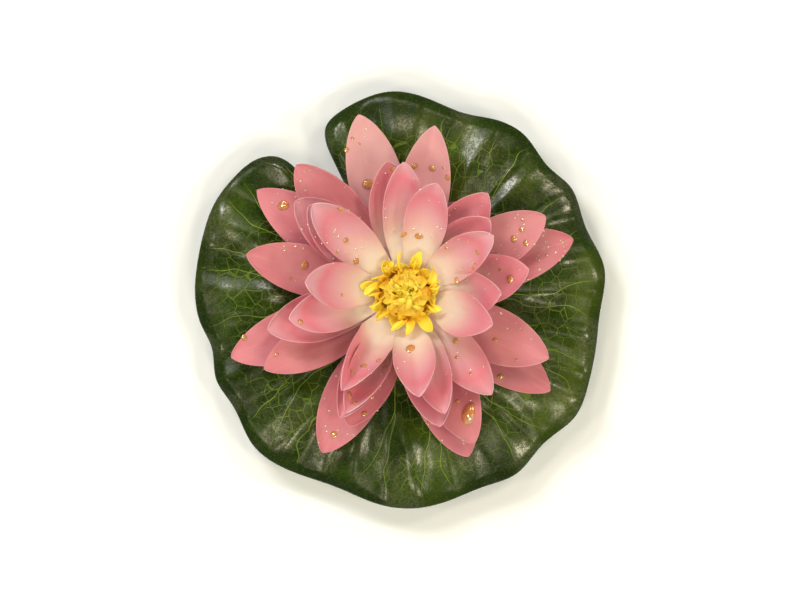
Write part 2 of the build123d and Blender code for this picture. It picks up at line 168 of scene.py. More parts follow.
class LilyStamenSettings(bpy.types.PropertyGroup):
    """Sizes and colours of the stamens."""

    sheet: length_property("Sheet", "Thickness of a stamen strip", 0.45 * MM)
    seed: count_property("Seed", "Seed of the strips' curls", 5)
    yellow: colour_property("Yellow", "Tips of the stamens", srgb(244, 226, 76))
    gold: colour_property("Gold", "Middle of the stamens", srgb(240, 204, 50))
    # Painted shade: this amber is laid towards the foot of each strip, where the strips lie deep among each
    # other.
    amber: colour_property("Amber", "Deep between the stamens", srgb(238, 184, 44))


class LilyDewSettings(bpy.types.PropertyGroup):
    """Glue dew on the petals."""

    specks: count_property("Specks", "Number of tiny droplets tried", 330)
    drops: count_property("Drops", "Number of small drops tried beside the placed ones", 26)
    seed: count_property("Seed", "Seed of the dew's places", 23)
    amber: colour_property("Amber", "Colour of the large drops", srgb(250, 176, 104))


class LilyStageSettings(bpy.types.PropertyGroup):
    """Floor, lights and camera."""

    distance: length_property("Camera distance", "Height of the camera above the leaf", 2.4)
    view_width: length_property("View width", "Width of the view at the leaf", 351.0 * MM)
    floor: colour_property("Floor", "Colour of the floor", (0.93, 0.955, 1.0))
    key: FloatProperty(
        name="Key light", description="Power of the key light", default=7.5, min=0, unit="POWER",
    )
    ambient: FloatProperty(
        name="Ambient", description="Strength of the light from the sky all round", default=0.36, min=0,
    )


# ---- Shader graph helper ------------------------------------------------------------------------
def rgba(value):
    """A colour with an alpha of 1."""
    return (*value[:3], 1.0)


class Graph:
    """Adds nodes to one node tree. A socket given as a value is linked, and anything else is set."""

    def __init__(self, tree):
        self.tree = tree

    def put(self, socket, value):
        """Links or sets one input."""
        if isinstance(value, bpy.types.NodeSocket):
            self.tree.links.new(value, socket)
        elif socket.type == "RGBA":
            socket.default_value = rgba(value)
        else:
            socket.default_value = value

    def add(self, kind, values=(), **settings):
        """A node with settings, and values by input name or number."""
        node = self.tree.nodes.new(kind)
        for name, value in settings.items():
            setattr(node, name, value)
        self.fill(node, values)
        return node

    def fill(self, node, values):
        """Links or sets a node's inputs by name or number."""
        for key, value in dict(values).items():
            self.put(node.inputs[key], value)

    def math(self, operation, *values):
        return self.add("ShaderNodeMath", enumerate(values), operation=operation).outputs[0]

    def plus(self, first, second):
        return self.math("ADD", first, second)

    def minus(self, first, second):
        return self.math("SUBTRACT", first, second)

    def times(self, first, second):
        return self.math("MULTIPLY", first, second)

    def remap(self, value, low, high, to_low=0.0, to_high=1.0, kind="SMOOTHSTEP"):
        values = {"Value": value, "From Min": low, "From Max": high, "To Min": to_low, "To Max": to_high}
        return self.add("ShaderNodeMapRange", values, interpolation_type=kind).outputs["Result"]

    def mix(self, share, first, second):
        """A mix of two colours: 0 gives the first, 1 the second."""
        return self.add("ShaderNodeMix", {0: share, 6: first, 7: second}, data_type="RGBA").outputs[2]

    def ramp(self, value, stops):
        """A colour ramp with stops of (place, colour)."""
        node = self.add("ShaderNodeValToRGB", {"Fac": value})
        elements = node.color_ramp.elements
        while len(elements) < len(stops):
            elements.new(0.5)
        for element, (place, colour) in zip(elements, stops):
            element.position = place
            element.color = rgba(colour)
        return node.outputs["Color"]

    def noise(self, vector, scale, detail=2.0, roughness=0.5):
        values = {"Vector": vector, "Scale": scale, "Detail": detail, "Roughness": roughness}
        return self.add("ShaderNodeTexNoise", values).outputs[0]

    def cells(self, vector, scale):
        """Distance to the nearest of many scattered points."""
        return self.add("ShaderNodeTexVoronoi", {"Vector": vector, "Scale": scale}).outputs["Distance"]

    def attribute(self, name, output="Fac"):
        return self.add("ShaderNodeAttribute", attribute_name=name).outputs[output]

    def vector(self, operation, *values):
        return self.add("ShaderNodeVectorMath", enumerate(values), operation=operation).outputs["Vector"]

    def scaled(self, vector, x, y, z):
        return self.vector("MULTIPLY", vector, (x, y, z))

    def warped(self, vector, scale, amount):
        """The vector moved about by coloured noise, amount in its own units."""
        values = {"Vector": vector, "Scale": scale, "Detail": 2.0}
        shift = self.add("ShaderNodeTexNoise", values).outputs["Color"]
        centred = self.vector("SUBTRACT", shift, (0.5, 0.5, 0.5))
        return self.vector("ADD", vector, self.scaled(centred, amount, amount, amount))

    def object_place(self):
        return self.add("ShaderNodeTexCoord").outputs["Object"]

    def bump(self, height, strength, distance):
        values = {"Height": height, "Strength": strength, "Distance": distance}
        return self.add("ShaderNodeBump", values).outputs[0]

    def group(self, tree, values):
        """The outputs of a node group placed with its own values."""
        return self.add("ShaderNodeGroup", values, node_tree=tree).outputs

    def mottle(self, place, scale, speckle, first, second):
        """Cloudy change between two colours."""
        return self.group(mottle_effect(), {
            "Place": place, "Scale": scale, "Speckle": speckle, "First": first, "Second": second,
        })["Color"]

    def grain(self, place, scale, pebbles, low_gloss, high_gloss):
        """Outputs of the foam and plastic grain."""
        return self.group(grain_effect(), {
            "Place": place, "Scale": scale, "Pebbles": pebbles, "Low Gloss": low_gloss,
            "High Gloss": high_gloss,
        })


def effect(name, inputs, outputs, make):
    """A shader node group, built once. make(graph, inputs) gives its output sockets by name."""
    if name in bpy.data.node_groups:
        return bpy.data.node_groups[name]
    tree = bpy.data.node_groups.new(name, "ShaderNodeTree")
    for label, kind, default in inputs:
        tree.interface.new_socket(label, in_out="INPUT", socket_type=kind).default_value = default
    for label, kind in outputs:
        tree.interface.new_socket(label, in_out="OUTPUT", socket_type=kind)
    graph = Graph(tree)
    made = make(graph, graph.add("NodeGroupInput").outputs)
    graph.add("NodeGroupOutput", made)
    return tree


FLOAT = "NodeSocketFloat"
COLOUR = "NodeSocketColor"
PLACE = "NodeSocketVector"
GREY = (0.5, 0.5, 0.5, 1.0)


def woven_effect():
    """Fine plain weave with uneven threads, as a height and a mask of the crossings."""

    def make(g, given):
        place = g.warped(given["Place"], g.times(given["Threads"], 0.2), 0.00012)
        across, along, _ = g.add("ShaderNodeSeparateXYZ", {0: place}).outputs
        turn = g.times(given["Threads"], 2 * math.pi)
        warp = g.math("SINE", g.times(across, turn))
        weft = g.math("SINE", g.times(along, turn))
        crossing = g.times(warp, weft)
        slubs = g.noise(given["Place"], g.times(given["Threads"], 0.35), 3.0)
        height = g.plus(g.times(crossing, 0.25), slubs)
        return {"Height": height, "Mask": g.remap(crossing, -1.0, 1.0)}

    inputs = [("Place", PLACE, (0, 0, 0)), ("Threads", FLOAT, 2500.0)]
    return effect("fine_weave", inputs, [("Height", FLOAT), ("Mask", FLOAT)], make)


def mottle_effect():
    """Soft cloudy change between two colours, with a fine speckle."""

    def make(g, given):
        clouds = g.noise(given["Place"], given["Scale"], 4.0, 0.6)
        specks = g.noise(given["Place"], g.times(given["Scale"], 14.0), 2.0, 0.6)
        both = g.plus(clouds, g.times(g.minus(specks, 0.5), given["Speckle"]))
        mask = g.remap(both, 0.34, 0.66)
        return {"Color": g.mix(mask, given["First"], given["Second"]), "Mask": mask}

    inputs = [
        ("Place", PLACE, (0, 0, 0)), ("Scale", FLOAT, 60.0), ("Speckle", FLOAT, 0.3),
        ("First", COLOUR, GREY), ("Second", COLOUR, GREY),
    ]
    return effect("mottle", inputs, [("Color", COLOUR), ("Mask", FLOAT)], make)


def grain_effect():
    """Pebbled grain of foam and moulded surfaces, with smudges that change the gloss."""

    def make(g, given):
        fine = g.noise(given["Place"], given["Scale"], 2.0, 0.7)
        cells = g.cells(given["Place"], given["Scale"])
        height = g.plus(g.times(fine, 0.7), g.times(cells, given["Pebbles"]))
        smudge = g.noise(given["Place"], g.times(given["Scale"], 0.04), 4.0, 0.65)
        gloss = g.remap(smudge, 0.3, 0.7, given["Low Gloss"], given["High Gloss"])
        return {"Height": height, "Roughness": gloss, "Smudge": g.remap(smudge, 0.4, 0.75)}

    inputs = [
        ("Place", PLACE, (0, 0, 0)), ("Scale", FLOAT, 2500.0), ("Pebbles", FLOAT, 0.4),
        ("Low Gloss", FLOAT, 0.35), ("High Gloss", FLOAT, 0.55),
    ]
    return effect("grain", inputs, [("Height", FLOAT), ("Roughness", FLOAT), ("Smudge", FLOAT)], make)


def new_material(name):
    """An empty material with its graph, its Principled shader and its output."""
    material = bpy.data.materials.new(name)
    material.use_nodes = True
    material.node_tree.nodes.clear()
    graph = Graph(material.node_tree)
    shader = graph.add("ShaderNodeBsdfPrincipled")
    graph.add("ShaderNodeOutputMaterial", {"Surface": shader.outputs[0]})
    return material, graph, shader


# ---- Mesh helpers -------------------------------------------------------------------------------
def make_object(name, points, faces, material, values=(), vectors=()):
    """A smooth mesh object with float and vector attributes on its points."""
    mesh = bpy.data.meshes.new(name)
    mesh.from_pydata([tuple(p) for p in points], [], faces)
    mesh.update()
    for label, data in dict(values).items():
        mesh.attributes.new(label, "FLOAT", "POINT").data.foreach_set("value", np.asarray(data, np.float32))
    for label, data in dict(vectors).items():
        flat = np.asarray(data, np.float32).reshape(-1)
        mesh.attributes.new(label, "FLOAT_VECTOR", "POINT").data.foreach_set("vector", flat)
    mesh.polygons.foreach_set("use_smooth", [True] * len(mesh.polygons))
    mesh.materials.append(material)
    made = bpy.data.objects.new(name, mesh)
    bpy.context.scene.collection.objects.link(made)
    return made


def join_parts(parts):
    """Points, faces and attributes of many small meshes as one."""
    points, faces, values, vectors, start = [], [], {}, {}, 0
    for part in parts:
        points.append(part["points"])
        faces += [[corner + start for corner in face] for face in part["faces"]]
        start += len(part["points"])
        for label, data in part.get("values", {}).items():
            values.setdefault(label, []).append(data)
        for label, data in part.get("vectors", {}).items():
            vectors.setdefault(label, []).append(data)
    values = {label: np.concatenate(data) for label, data in values.items()}
    vectors = {label: np.concatenate(data) for label, data in vectors.items()}
    return np.concatenate(points), faces, values, vectors


def unit(vectors):
    """Vectors at length 1."""
    lengths = np.linalg.norm(vectors, axis=-1, keepdims=True)
    return vectors / np.maximum(lengths, 1e-12)


def grid_normals(grid):
    """Normals of a grid of points, indexed along and across."""
    along = np.gradient(grid, axis=0)
    across = np.gradient(grid, axis=1)
    return unit(np.cross(along, across))


def sheet_from_grid(grid, thickness, values, vectors=()):
    """A closed sheet whose upper side is half its thickness above the grid."""
    rows, columns = grid.shape[:2]
    normals = grid_normals(grid)
    points = np.concatenate([
        (grid + normals * thickness / 2).reshape(-1, 3),
        (grid - normals * thickness / 2).reshape(-1, 3),
    ])
    under = rows * columns
    faces = []
    for i in range(rows - 1):
        for j in range(columns - 1):
            a, b = i * columns + j, i * columns + j + 1
            c, d = (i + 1) * columns + j + 1, (i + 1) * columns + j
            faces.append([a, d, c, b])
            faces.append([a + under, b + under, c + under, d + under])
    rim = list(range(columns))
    rim += [i * columns + columns - 1 for i in range(1, rows)]
    rim += [(rows - 1) * columns + j for j in range(columns - 2, -1, -1)]
    rim += [i * columns for i in range(rows - 2, 0, -1)]
    for a, b in zip(rim, rim[1:] + rim[:1]):
        faces.append([a, b, b + under, a + under])
    doubled = {label: np.concatenate([data.reshape(-1)] * 2) for label, data in values.items()}
    doubled["back"] = np.repeat([0.0, 1.0], under)
    pairs = {label: np.concatenate([data.reshape(-1, 3)] * 2) for label, data in dict(vectors).items()}
    return {"points": points, "faces": faces, "values": doubled, "vectors": pairs}


def smooth_step(value, low, high):
    """0 below low, 1 above high, smooth between."""
    share = np.clip((value - low) / (high - low), 0, 1)
    return share * share * (3 - 2 * share)


def refine(made, levels):
    """Adds a subdivision surface."""
    modifier = made.modifiers.new("rounding", "SUBSURF")
    modifier.levels = modifier.render_levels = levels


def cad_mesh(node):
    """The CAD node's mesh with its split points joined."""
    mesh = bmesh.new()
    mesh.from_mesh(frame["nodes"][node].data)
    bmesh.ops.remove_doubles(mesh, verts=mesh.verts, dist=1e-6)
    mesh.normal_update()
    return mesh


def tabs_of(node):
    """Direction, reach and tip height of each tab of a formed blank, read from the CAD mesh."""
    mesh = cad_mesh(node)
    places = np.array([v.co for v in mesh.verts])
    mesh.free()
    reach = np.hypot(places[:, 0], places[:, 1])
    turn = np.degrees(np.arctan2(places[:, 1], places[:, 0])) % 360
    found = []
    near = 7.0  # degrees that belong to one tip
    shortest = 0.45 * reach.max()
    for index in np.argsort(-reach):
        away = np.abs((turn - turn[index] + 180) % 360 - 180)
        beside = (away < near) & (reach > reach[index] + 1e-6)
        new = all(abs((turn[index] - tab[0] + 180) % 360 - 180) > near for tab in found)
        if reach[index] > shortest and not beside.any() and new:
            found.append((turn[index], reach[index], places[index, 2]))
    return sorted(found)


def middle_of(node):
    """Middle of a CAD node's box."""
    low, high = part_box(node)
    return (low + high) / 2


def frame_neck_radius():
    """The neck's radius, from the hole in the CAD ring nut."""
    mesh = cad_mesh("ring_nut")
    radius = min(v.co.xy.length for v in mesh.verts)
    mesh.free()
    return radius


# ---- Leaf ---------------------------------------------------------------------------------------
LEAF_SHEET = 2.4 * MM
NECK_GAP = 0.1 * MM       # leaf's hole to the neck
RIM_ROWS = (0.35 * MM, 0.9 * MM, 1.7 * MM, 2.8 * MM)  # mesh rows this far inside the margin
FOLD_SPACING = 0.0085     # of the small folds, at the radius where they are even
FOLD_RADIUS = 0.075
FOLD_LENGTH = 0.034


def leaf_outline():
    """The leaf's margin from the CAD mesh, in order, as points in plan."""
    mesh = cad_mesh("leaf_pad")
    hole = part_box("ring_nut")[1].x
    links = {}
    for edge in mesh.edges:
        if len(edge.link_faces) != 2:
            continue
        tilt = sorted(face.normal.z for face in edge.link_faces)
        middle = (edge.verts[0].co + edge.verts[1].co) / 2
        if abs(tilt[0]) < 0.3 and tilt[1] > 0.5 and middle.xy.length > hole:
            for one, other in (edge.verts, reversed(edge.verts)):
                links.setdefault(one.index, []).append(other.index)
    mesh.verts.ensure_lookup_table()
    start = next(iter(links))
    loop, before, here = [start], None, start
    while True:
        following = [v for v in links[here] if v != before]
        before, here = here, following[0]
        if here == start:
            break
        loop.append(here)
    points = np.array([mesh.verts[v].co.xy for v in loop])
    mesh.free()
    return points


def even_loop(points, spacing):
    """A closed line as evenly spaced points, counter-clockwise."""
    closed = np.vstack([points, points[:1]])
    lengths = np.concatenate([[0], np.cumsum(np.linalg.norm(np.diff(closed, axis=0), axis=1))])
    steps = np.linspace(0, lengths[-1], int(lengths[-1] / spacing), endpoint=False)
    even = np.stack([np.interp(steps, lengths, closed[:, axis]) for axis in (0, 1)], axis=1)
    area = np.sum(even[:, 0] * np.roll(even[:, 1], -1) - np.roll(even[:, 0], -1) * even[:, 1])
    return even if area > 0 else even[::-1]


def inside_loop(places, loop):
    """Which places lie inside a closed line."""
    inside = np.zeros(len(places), bool)
    for a, b in zip(loop, np.roll(loop, -1, axis=0)):
        crosses = (a[1] > places[:, 1]) != (b[1] > places[:, 1])
        at = a[0] + (places[:, 1] - a[1]) / (b[1] - a[1] if b[1] != a[1] else 1e-12) * (b[0] - a[0])
        inside ^= crosses & (places[:, 0] < at)
    return inside


def inset_loops(loop, depths):
    """Copies of the margin, each moved inwards."""
    along = unit(np.roll(loop, -1, axis=0) - np.roll(loop, 1, axis=0))
    inward = np.stack([-along[:, 1], along[:, 0]], axis=1)
    return [loop + inward * depth for depth in depths]


def leaf_plan(settings):
    """Plan points and triangles of the leaf, its margin first, and each point's distance to the margin."""
    margin = even_loop(leaf_outline(), 0.8 * settings.spacing)
    rows = inset_loops(margin, RIM_ROWS)
    low, high = margin.min(axis=0), margin.max(axis=0)
    step_x, step_y = settings.spacing, settings.spacing * 0.866
    fill = []
    for row, y in enumerate(np.arange(low[1], high[1], step_y)):
        xs = np.arange(low[0] + (row % 2) * step_x / 2, high[0], step_x)
        fill.append(np.stack([xs, np.full_like(xs, y)], axis=1))
    fill = np.concatenate(fill)
    fill = fill[inside_loop(fill, margin)]
    tree = KDTree(len(margin))
    for index, (x, y) in enumerate(margin):
        tree.insert((x, y, 0), index)
    tree.balance()

    def to_margin(places):
        return np.array([tree.find((x, y, 0))[2] for x, y in places])

    hole_radius = frame_neck_radius() + NECK_GAP
    rows = [row[to_margin(row) > 0.93 * depth] for row, depth in zip(rows, RIM_ROWS)]
    fill = fill[to_margin(fill) > RIM_ROWS[-1] + 0.6 * settings.spacing]
    fill = fill[np.linalg.norm(fill, axis=1) > hole_radius + 0.7 * settings.spacing]
    turns = np.linspace(0, 2 * math.pi, 64, endpoint=False)
    hole = np.stack([np.cos(turns), np.sin(turns)], axis=1) * hole_radius
    places = np.concatenate([margin, hole, *rows, fill])
    count = len(margin)
    edges = [(i, (i + 1) % count) for i in range(count)]
    edges += [(count + i, count + (i + 1) % len(hole)) for i in range(len(hole))]
    found = delaunay_2d_cdt([Vector(p) for p in places], edges, [], 0, 1e-7)
    plan = np.array([v[:] for v in found[0]])
    triangles = np.array(found[2])
    centres = plan[triangles].mean(axis=1)
    keep = inside_loop(centres, margin) & (np.linalg.norm(centres, axis=1) > hole_radius * 0.999)
    triangles = triangles[keep]
    return plan, triangles, to_margin(plan), margin


def fold_noise(turn, radius):
    """Unevenness drawn out along the radius, from -1 to 1."""
    across = FOLD_RADIUS / FOLD_SPACING
    return noise.noise(Vector((across * math.cos(turn), across * math.sin(turn), radius / FOLD_LENGTH)))


def plan_noise(plan, scale, layer):
    """Smooth unevenness over the leaf, from -1 to 1."""
    return np.array([noise.noise(Vector((x * scale, y * scale, layer))) for x, y in plan])


def cad_leaf_top(offset, radius, middle):
    """Height of the CAD leaf's upper face at each point, taken a little nearer its middle."""
    cad = BVHTree.FromBMesh(cad_mesh("leaf_pad"))
    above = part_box("leaf_pad")[1].z + 0.05
    top = np.full(len(offset), np.nan)
    for index in range(len(offset)):
        pull = 1 - 0.0004 / max(radius[index], 1e-6)
        x_in, y_in = middle + offset[index] * pull
        hit = cad.ray_cast((x_in, y_in, above), (0, 0, -1))[0]
        if hit:
            top[index] = hit.z
    known = ~np.isnan(top)
    nearest = KDTree(int(known.sum()))
    for index, (x, y) in enumerate(offset[known]):
        nearest.insert((x, y, 0), index)
    nearest.balance()
    heights = top[known]
    for index in np.flatnonzero(~known):
        top[index] = heights[nearest.find((*offset[index], 0))[1]]
    return top


def leaf_reach(turn, rim_turn, rim_radius, notch, mean_radius):
    """Distance from the leaf's middle to its margin in each direction, past the notch."""
    outer = rim_radius > 0.8 * mean_radius
    order = np.argsort((rim_turn[outer] - notch) % 360)
    return np.interp(turn, ((rim_turn[outer] - notch) % 360)[order], rim_radius[outer][order])


def closed_leaf(plan, triangles, centre, half):
    """Points and faces of the leaf's upper and lower side and its margin and hole."""
    count = len(plan)
    upper = np.column_stack([plan, centre + half])
    lower = np.column_stack([plan, centre - half])
    one, two, three = (plan[triangles[:, corner]] for corner in range(3))
    signs = np.cross(two - one, three - one)
    faces = [list(face) if sign > 0 else list(face)[::-1] for face, sign in zip(triangles, signs)]
    uses = {(a, b) for face in faces for a, b in zip(face, face[1:] + face[:1])}
    open_edges = [(a, b) for a, b in sorted(uses) if (b, a) not in uses]
    faces += [[corner + count for corner in reversed(face)] for face in faces]
    faces += [[b, a, a + count, b + count] for a, b in open_edges]
    return np.concatenate([upper, lower]), faces


def leaf_shape(settings):
    """Points, faces and attributes of the leaf: a drooping sheet that bulges between its veins."""
    plan, triangles, depth, margin = leaf_plan(settings)
    low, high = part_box("leaf_pad")
    middle = np.array([(low.x + high.x) / 2, (low.y + high.y) / 2])
    mean_radius = (high.x - low.x) / 2
    offset = plan - middle
    radius = np.linalg.norm(offset, axis=1)
    rim_offset = margin - middle
    rim_radius = np.linalg.norm(rim_offset, axis=1)
    rim_turn = np.degrees(np.arctan2(rim_offset[:, 1], rim_offset[:, 0]))
    notch = rim_turn[np.argmin(rim_radius)] % 360
    turn = (np.degrees(np.arctan2(offset[:, 1], offset[:, 0])) - notch) % 360
    reach = leaf_reach(turn, rim_turn, rim_radius, notch, mean_radius)
    share = radius / reach
    wave = (reach - mean_radius) / MM
    top = cad_leaf_top(offset, radius, middle)

    vein_phase = turn / 360 * settings.veins + 0.22 * plan_noise(plan, 18, 3.1)
    between = np.abs(np.sin(math.pi * vein_phase)) ** 1.5
    fields = [noise.noise(Vector((math.floor(phase) * 3.7, 0.4, 1.7))) for phase in vein_phase]
    swollen = 0.8 + 0.7 * np.array(fields)
    outer_part = smooth_step(share, 0.42, 0.8) * (1 - 0.6 * smooth_step(share, 0.93, 1.03))
    relief = settings.bulge * (between * swollen - 0.5) * outer_part
    outward = smooth_step(share, 0.36, 0.62)
    folds = np.array([fold_noise(t, r) for t, r in zip(np.radians(turn), radius)])
    blisters = plan_noise(plan, 70, 7.7)
    relief += outward * (settings.pucker * (1.6 * folds + blisters) + 1.4 * MM * plan_noise(plan, 26, 1.3))
    curl = (1 - smooth_step(depth, 0, settings.curl_width)) ** 1.5
    relief -= curl * (settings.curl + 0.28 * MM * np.clip(-wave, -3, 5))
    flat = smooth_step(radius, 0.0, 0.045)
    height = top + relief * flat

    rounded = np.clip(depth / (1.3 * MM), 0, 1)
    half = 0.5 * LEAF_SHEET * (0.16 + 0.84 * np.sqrt(1 - (1 - rounded) ** 2))
    near_hole = np.linalg.norm(plan, axis=1) < frame_neck_radius() + 0.3 * MM
    half[near_hole] = LEAF_SHEET / 2
    points, faces = closed_leaf(plan, triangles, height - LEAF_SHEET / 2, half)
    values = {"share": share, "veins": vein_phase + 0.5, "depth": depth / MM, "reach": radius}
    values = {label: np.concatenate([data, data]) for label, data in values.items()}
    values["under"] = np.repeat([0.0, 1.0], len(plan))
    return points, faces, values


def vein_mask(g, settings):
    """Main veins that fork on the way out, and the net between them: (veins, net)."""
    place = g.object_place()
    share = g.attribute("share")
    radius = g.attribute("reach")
    spread = 2 * math.pi / settings.veins
    wander = g.times(g.minus(g.noise(place, 34.0, 0.0), 0.5), 0.8)
    bends = g.times(g.minus(g.noise(place, 110.0, 0.0), 0.5), 0.14)
    phase = g.plus(g.attribute("veins"), g.plus(wander, bends))
    number = g.math("FLOOR", phase)
    pick = g.add("ShaderNodeTexWhiteNoise", {"W": number}, noise_dimensions="1D").outputs["Value"]
    side = g.minus(g.math("FRACT", phase), 0.5)
    side = g.plus(side, g.times(g.minus(pick, 0.5), 0.2))
    fork = g.plus(0.34, g.times(pick, 0.22))
    beyond = g.minus(share, fork)
    opening = g.times(g.math("POWER", g.remap(beyond, 0.0, 0.7, kind="LINEAR"), 0.6), 0.27)
    branch = g.math("ABSOLUTE", g.minus(g.math("ABSOLUTE", side), opening))
    distance = g.times(g.times(branch, radius), spread)
    width = g.remap(share, 0.2, 1.0, 0.5 * settings.vein_width, 0.28 * settings.vein_width, "LINEAR")
    line = g.minus(1.0, g.remap(g.math("DIVIDE", distance, width), 0.3, 1.3))
    fade = g.remap(g.noise(place, 45.0, 1.0), 0.36, 0.56, 0.5, 1.0)
    veins = g.times(g.times(line, fade), g.remap(share, 0.84, 0.98, 1.0, 0.0))

    values = {"Vector": place, "Scale": 95.0, "Detail": 0.0}
    shift = g.vector("SUBTRACT", g.add("ShaderNodeTexNoise", values).outputs["Color"], (0.5, 0.5, 0.5))
    bent = g.vector("ADD", place, g.scaled(shift, 0.0042, 0.0042, 0.0))
    nets = []
    meshes = ((settings.cell, 0.010, 0.034, 1.0), (0.5 * settings.cell, 0.012, 0.05, 0.25))
    for size, low, high, weight in meshes:
        cells = {"Vector": bent, "Scale": 1 / size, "Randomness": 0.9}
        edge = g.add("ShaderNodeTexVoronoi", cells, feature="DISTANCE_TO_EDGE").outputs["Distance"]
        nets.append(g.times(g.minus(1.0, g.remap(edge, low, high)), weight))
    patches = g.remap(g.noise(place, 30.0, 1.0), 0.36, 0.56)
    inner = g.remap(share, 0.80, 0.96, 1.0, 0.0)
    net = g.times(g.math("MAXIMUM", *nets), g.times(patches, inner))
    return veins, net


def leaf_material(settings):
    """Printed and embossed foam: mottled greens, lime veins, grainy gloss, a painted highlight and painted
    shade.
    """
    material, g, shader = new_material("leaf_foam")
    place = g.object_place()
    under = g.attribute("under")
    ground = g.mottle(place, 38.0, 0.45, settings.dark, settings.green)
    dusty = g.times(g.remap(g.noise(place, 20.0, 3.0, 0.6), 0.50, 0.74), 0.6)
    colour = g.mix(dusty, ground, settings.olive)
    rim = g.times(g.remap(g.attribute("depth"), 0.1, 0.8, 1.0, 0.0), 0.35)
    colour = g.mix(rim, colour, settings.olive)
    # Painted shade: the green darkens towards the margin, most at the edge, for the shade on the down-curled
    # rim.
    colour = g.mix(g.remap(g.attribute("depth"), 0.5, 9.0, 0.5, 0.0), colour, settings.dark)
    veins, net = vein_mask(g, settings)
    colour = g.mix(g.times(net, 0.38), colour, settings.vein)
    colour = g.mix(g.times(veins, 0.85), colour, settings.vein)
    along = g.times(g.attribute("share"), 2.6)
    drawn_out = g.add("ShaderNodeCombineXYZ", {0: g.attribute("veins"), 1: along}).outputs[0]
    patches = g.remap(g.noise(drawn_out, 1.7), 0.49, 0.63)
    wear_and_sheen = g.remap(g.noise(place, 950.0, 3.0, 0.75), 0.38, 0.60, 0.12, 1.0)
    polish_and_painted_sheen = g.times(g.times(patches, wear_and_sheen), g.remap(under, 0.0, 1.0, 0.9, 0.0))
    # Painted highlight: tan mixed into the green in the gloss patches, for the warm light they reflect.
    colour = g.mix(g.times(polish_and_painted_sheen, 0.12), colour, settings.wear_and_sheen)
    dust = g.times(g.remap(g.noise(place, 1300.0, 1.0), 0.56, 0.70), 0.10)
    colour = g.mix(dust, colour, srgb(150, 150, 96))
    pale = g.mottle(place, 90.0, 0.4, srgb(74, 98, 36), srgb(98, 120, 52))
    back = g.mix(g.times(veins, 0.5), pale, srgb(140, 160, 86))
    grain = g.grain(place, 1500.0, 0.6, 0.19, 0.27)
    sparkle = g.remap(g.noise(place, 1700.0, 2.0, 0.7), 0.38, 0.62, -0.03, 0.08)
    raised = g.minus(g.times(grain["Height"], 0.15), g.times(veins, 0.9))
    raised = g.minus(raised, g.times(net, 0.5))
    g.fill(shader, {
        "Base Color": g.mix(under, colour, back),
        "Roughness": g.plus(grain["Roughness"], sparkle),
        "Normal": g.bump(raised, 0.6, 0.00022),
        "Coat Weight": polish_and_painted_sheen,
        "Coat Roughness": 0.2,
        "Specular IOR Level": 0.14,
    })
    return material


class LILY_OT_leaf(bpy.types.Operator):
    """Builds the leaf with its veins, bulges and curled margin"""

    bl_idname = "lily.leaf"
    bl_label = "Leaf"

    def execute(self, context):
        settings = context.scene.lily_leaf
        points, faces, values = leaf_shape(settings)
        leaf = make_object("lily_leaf", points, faces, leaf_material(settings), values)
        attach(leaf, "root")
        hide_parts("leaf_pad")
        return {"FINISHED"}


# ---- Petals -------------------------------------------------------------------------------------
def petal_half_width(share, foot, sharpness, widest):
    """Half width along a petal, as a share of its widest half."""
    start = smooth_step(0, -0.25, widest)
    rising = foot + (1 - foot) * (smooth_step(share, -0.25, widest) - start) / (1 - start)
    past = np.clip((share - widest) / (1 - widest), 0, 1)
    falling = (1 - past ** 2.1) ** sharpness
    return np.where(share < widest, rising, falling)


def petal_grid(foot_place, tip_place, shape, rows=34, columns=15):
    """Points of one petal's middle surface in its own (outward, sideways, up) frame, its float attributes
    and its place on the flat sheet."""
    share = 1 - (1 - np.linspace(0, 1, rows)) ** 1.25
    across = np.linspace(-1, 1, columns)
    chord = np.array(tip_place) - np.array(foot_place)
    length = np.hypot(*chord)
    rise = np.array([-chord[1], chord[0]]) / length
    bow = -shape["sag"] * 4 * share * (1 - share)
    bow -= shape["curl"] * np.clip((share - 0.7) / 0.3, 0, 1) ** 2
    line = np.array(foot_place) + share[:, None] * chord + bow[:, None] * rise
    slope = unit(np.gradient(line, share, axis=0))
    normal = np.stack([-slope[:, 1], slope[:, 0]], axis=1)

    half = shape["half_width"] * petal_half_width(share, shape["foot"], shape["sharpness"], shape["widest"])
    half = half[:, None] * np.ones(columns)
    side = across[None, :]
    cup = shape["cup"] * smooth_step(share, 0.0, 0.55)[:, None] + 1e-3
    sideways = half * np.sin(cup * side) / cup
    lift = half * (1 - np.cos(cup * side)) / cup
    fold = shape["fold"] * smooth_step(share, 0.1, 0.6)[:, None]
    lift += fold * half * (np.sqrt(side ** 2 + 0.02) - math.sqrt(0.02))
    ruffle = np.sin(2 * math.pi * (shape["waves"] * share[:, None] + shape["phase"] + 0.2 * np.sign(side)))
    lift += shape["ruffle"] * side ** 4 * ruffle * smooth_step(share, 0.15, 0.5)[:, None]
    roll = shape["roll"] * np.clip(side * shape["roll_side"] - 0.35, 0, 1) ** 2
    lift += roll * smooth_step(share, 0.3, 0.7)[:, None]
    twist = shape["twist"] * share[:, None]
    turned_side = sideways * np.cos(twist) - lift * np.sin(twist)
    turned_lift = sideways * np.sin(twist) + lift * np.cos(twist)
    turned_side = turned_side + shape["bend"] * share[:, None] ** 2

    outward = line[:, 0:1] + normal[:, 0:1] * turned_lift
    up = line[:, 1:2] + normal[:, 1:2] * turned_lift
    grid = np.stack([outward, turned_side, up], axis=2)
    ones = np.ones_like(turned_side)
    to_side = (1 - np.abs(side)) * half / MM
    to_tip = (1 - share[:, None]) * length / MM * 0.8 * ones
    flat = np.stack([side * half, share[:, None] * length * ones, 0 * ones], axis=2)
    values = {
        "along": share[:, None] * ones, "across": side * ones, "rim": np.minimum(to_side, to_tip + 0.1),
        # Painted shade on the half of a folded petal that turns away from the light.
        "shade": shape["folded"] * smooth_step(-side, -0.05, 0.1) * smooth_step(share, 0.2, 0.5)[:, None],
    }
    return grid, values, flat


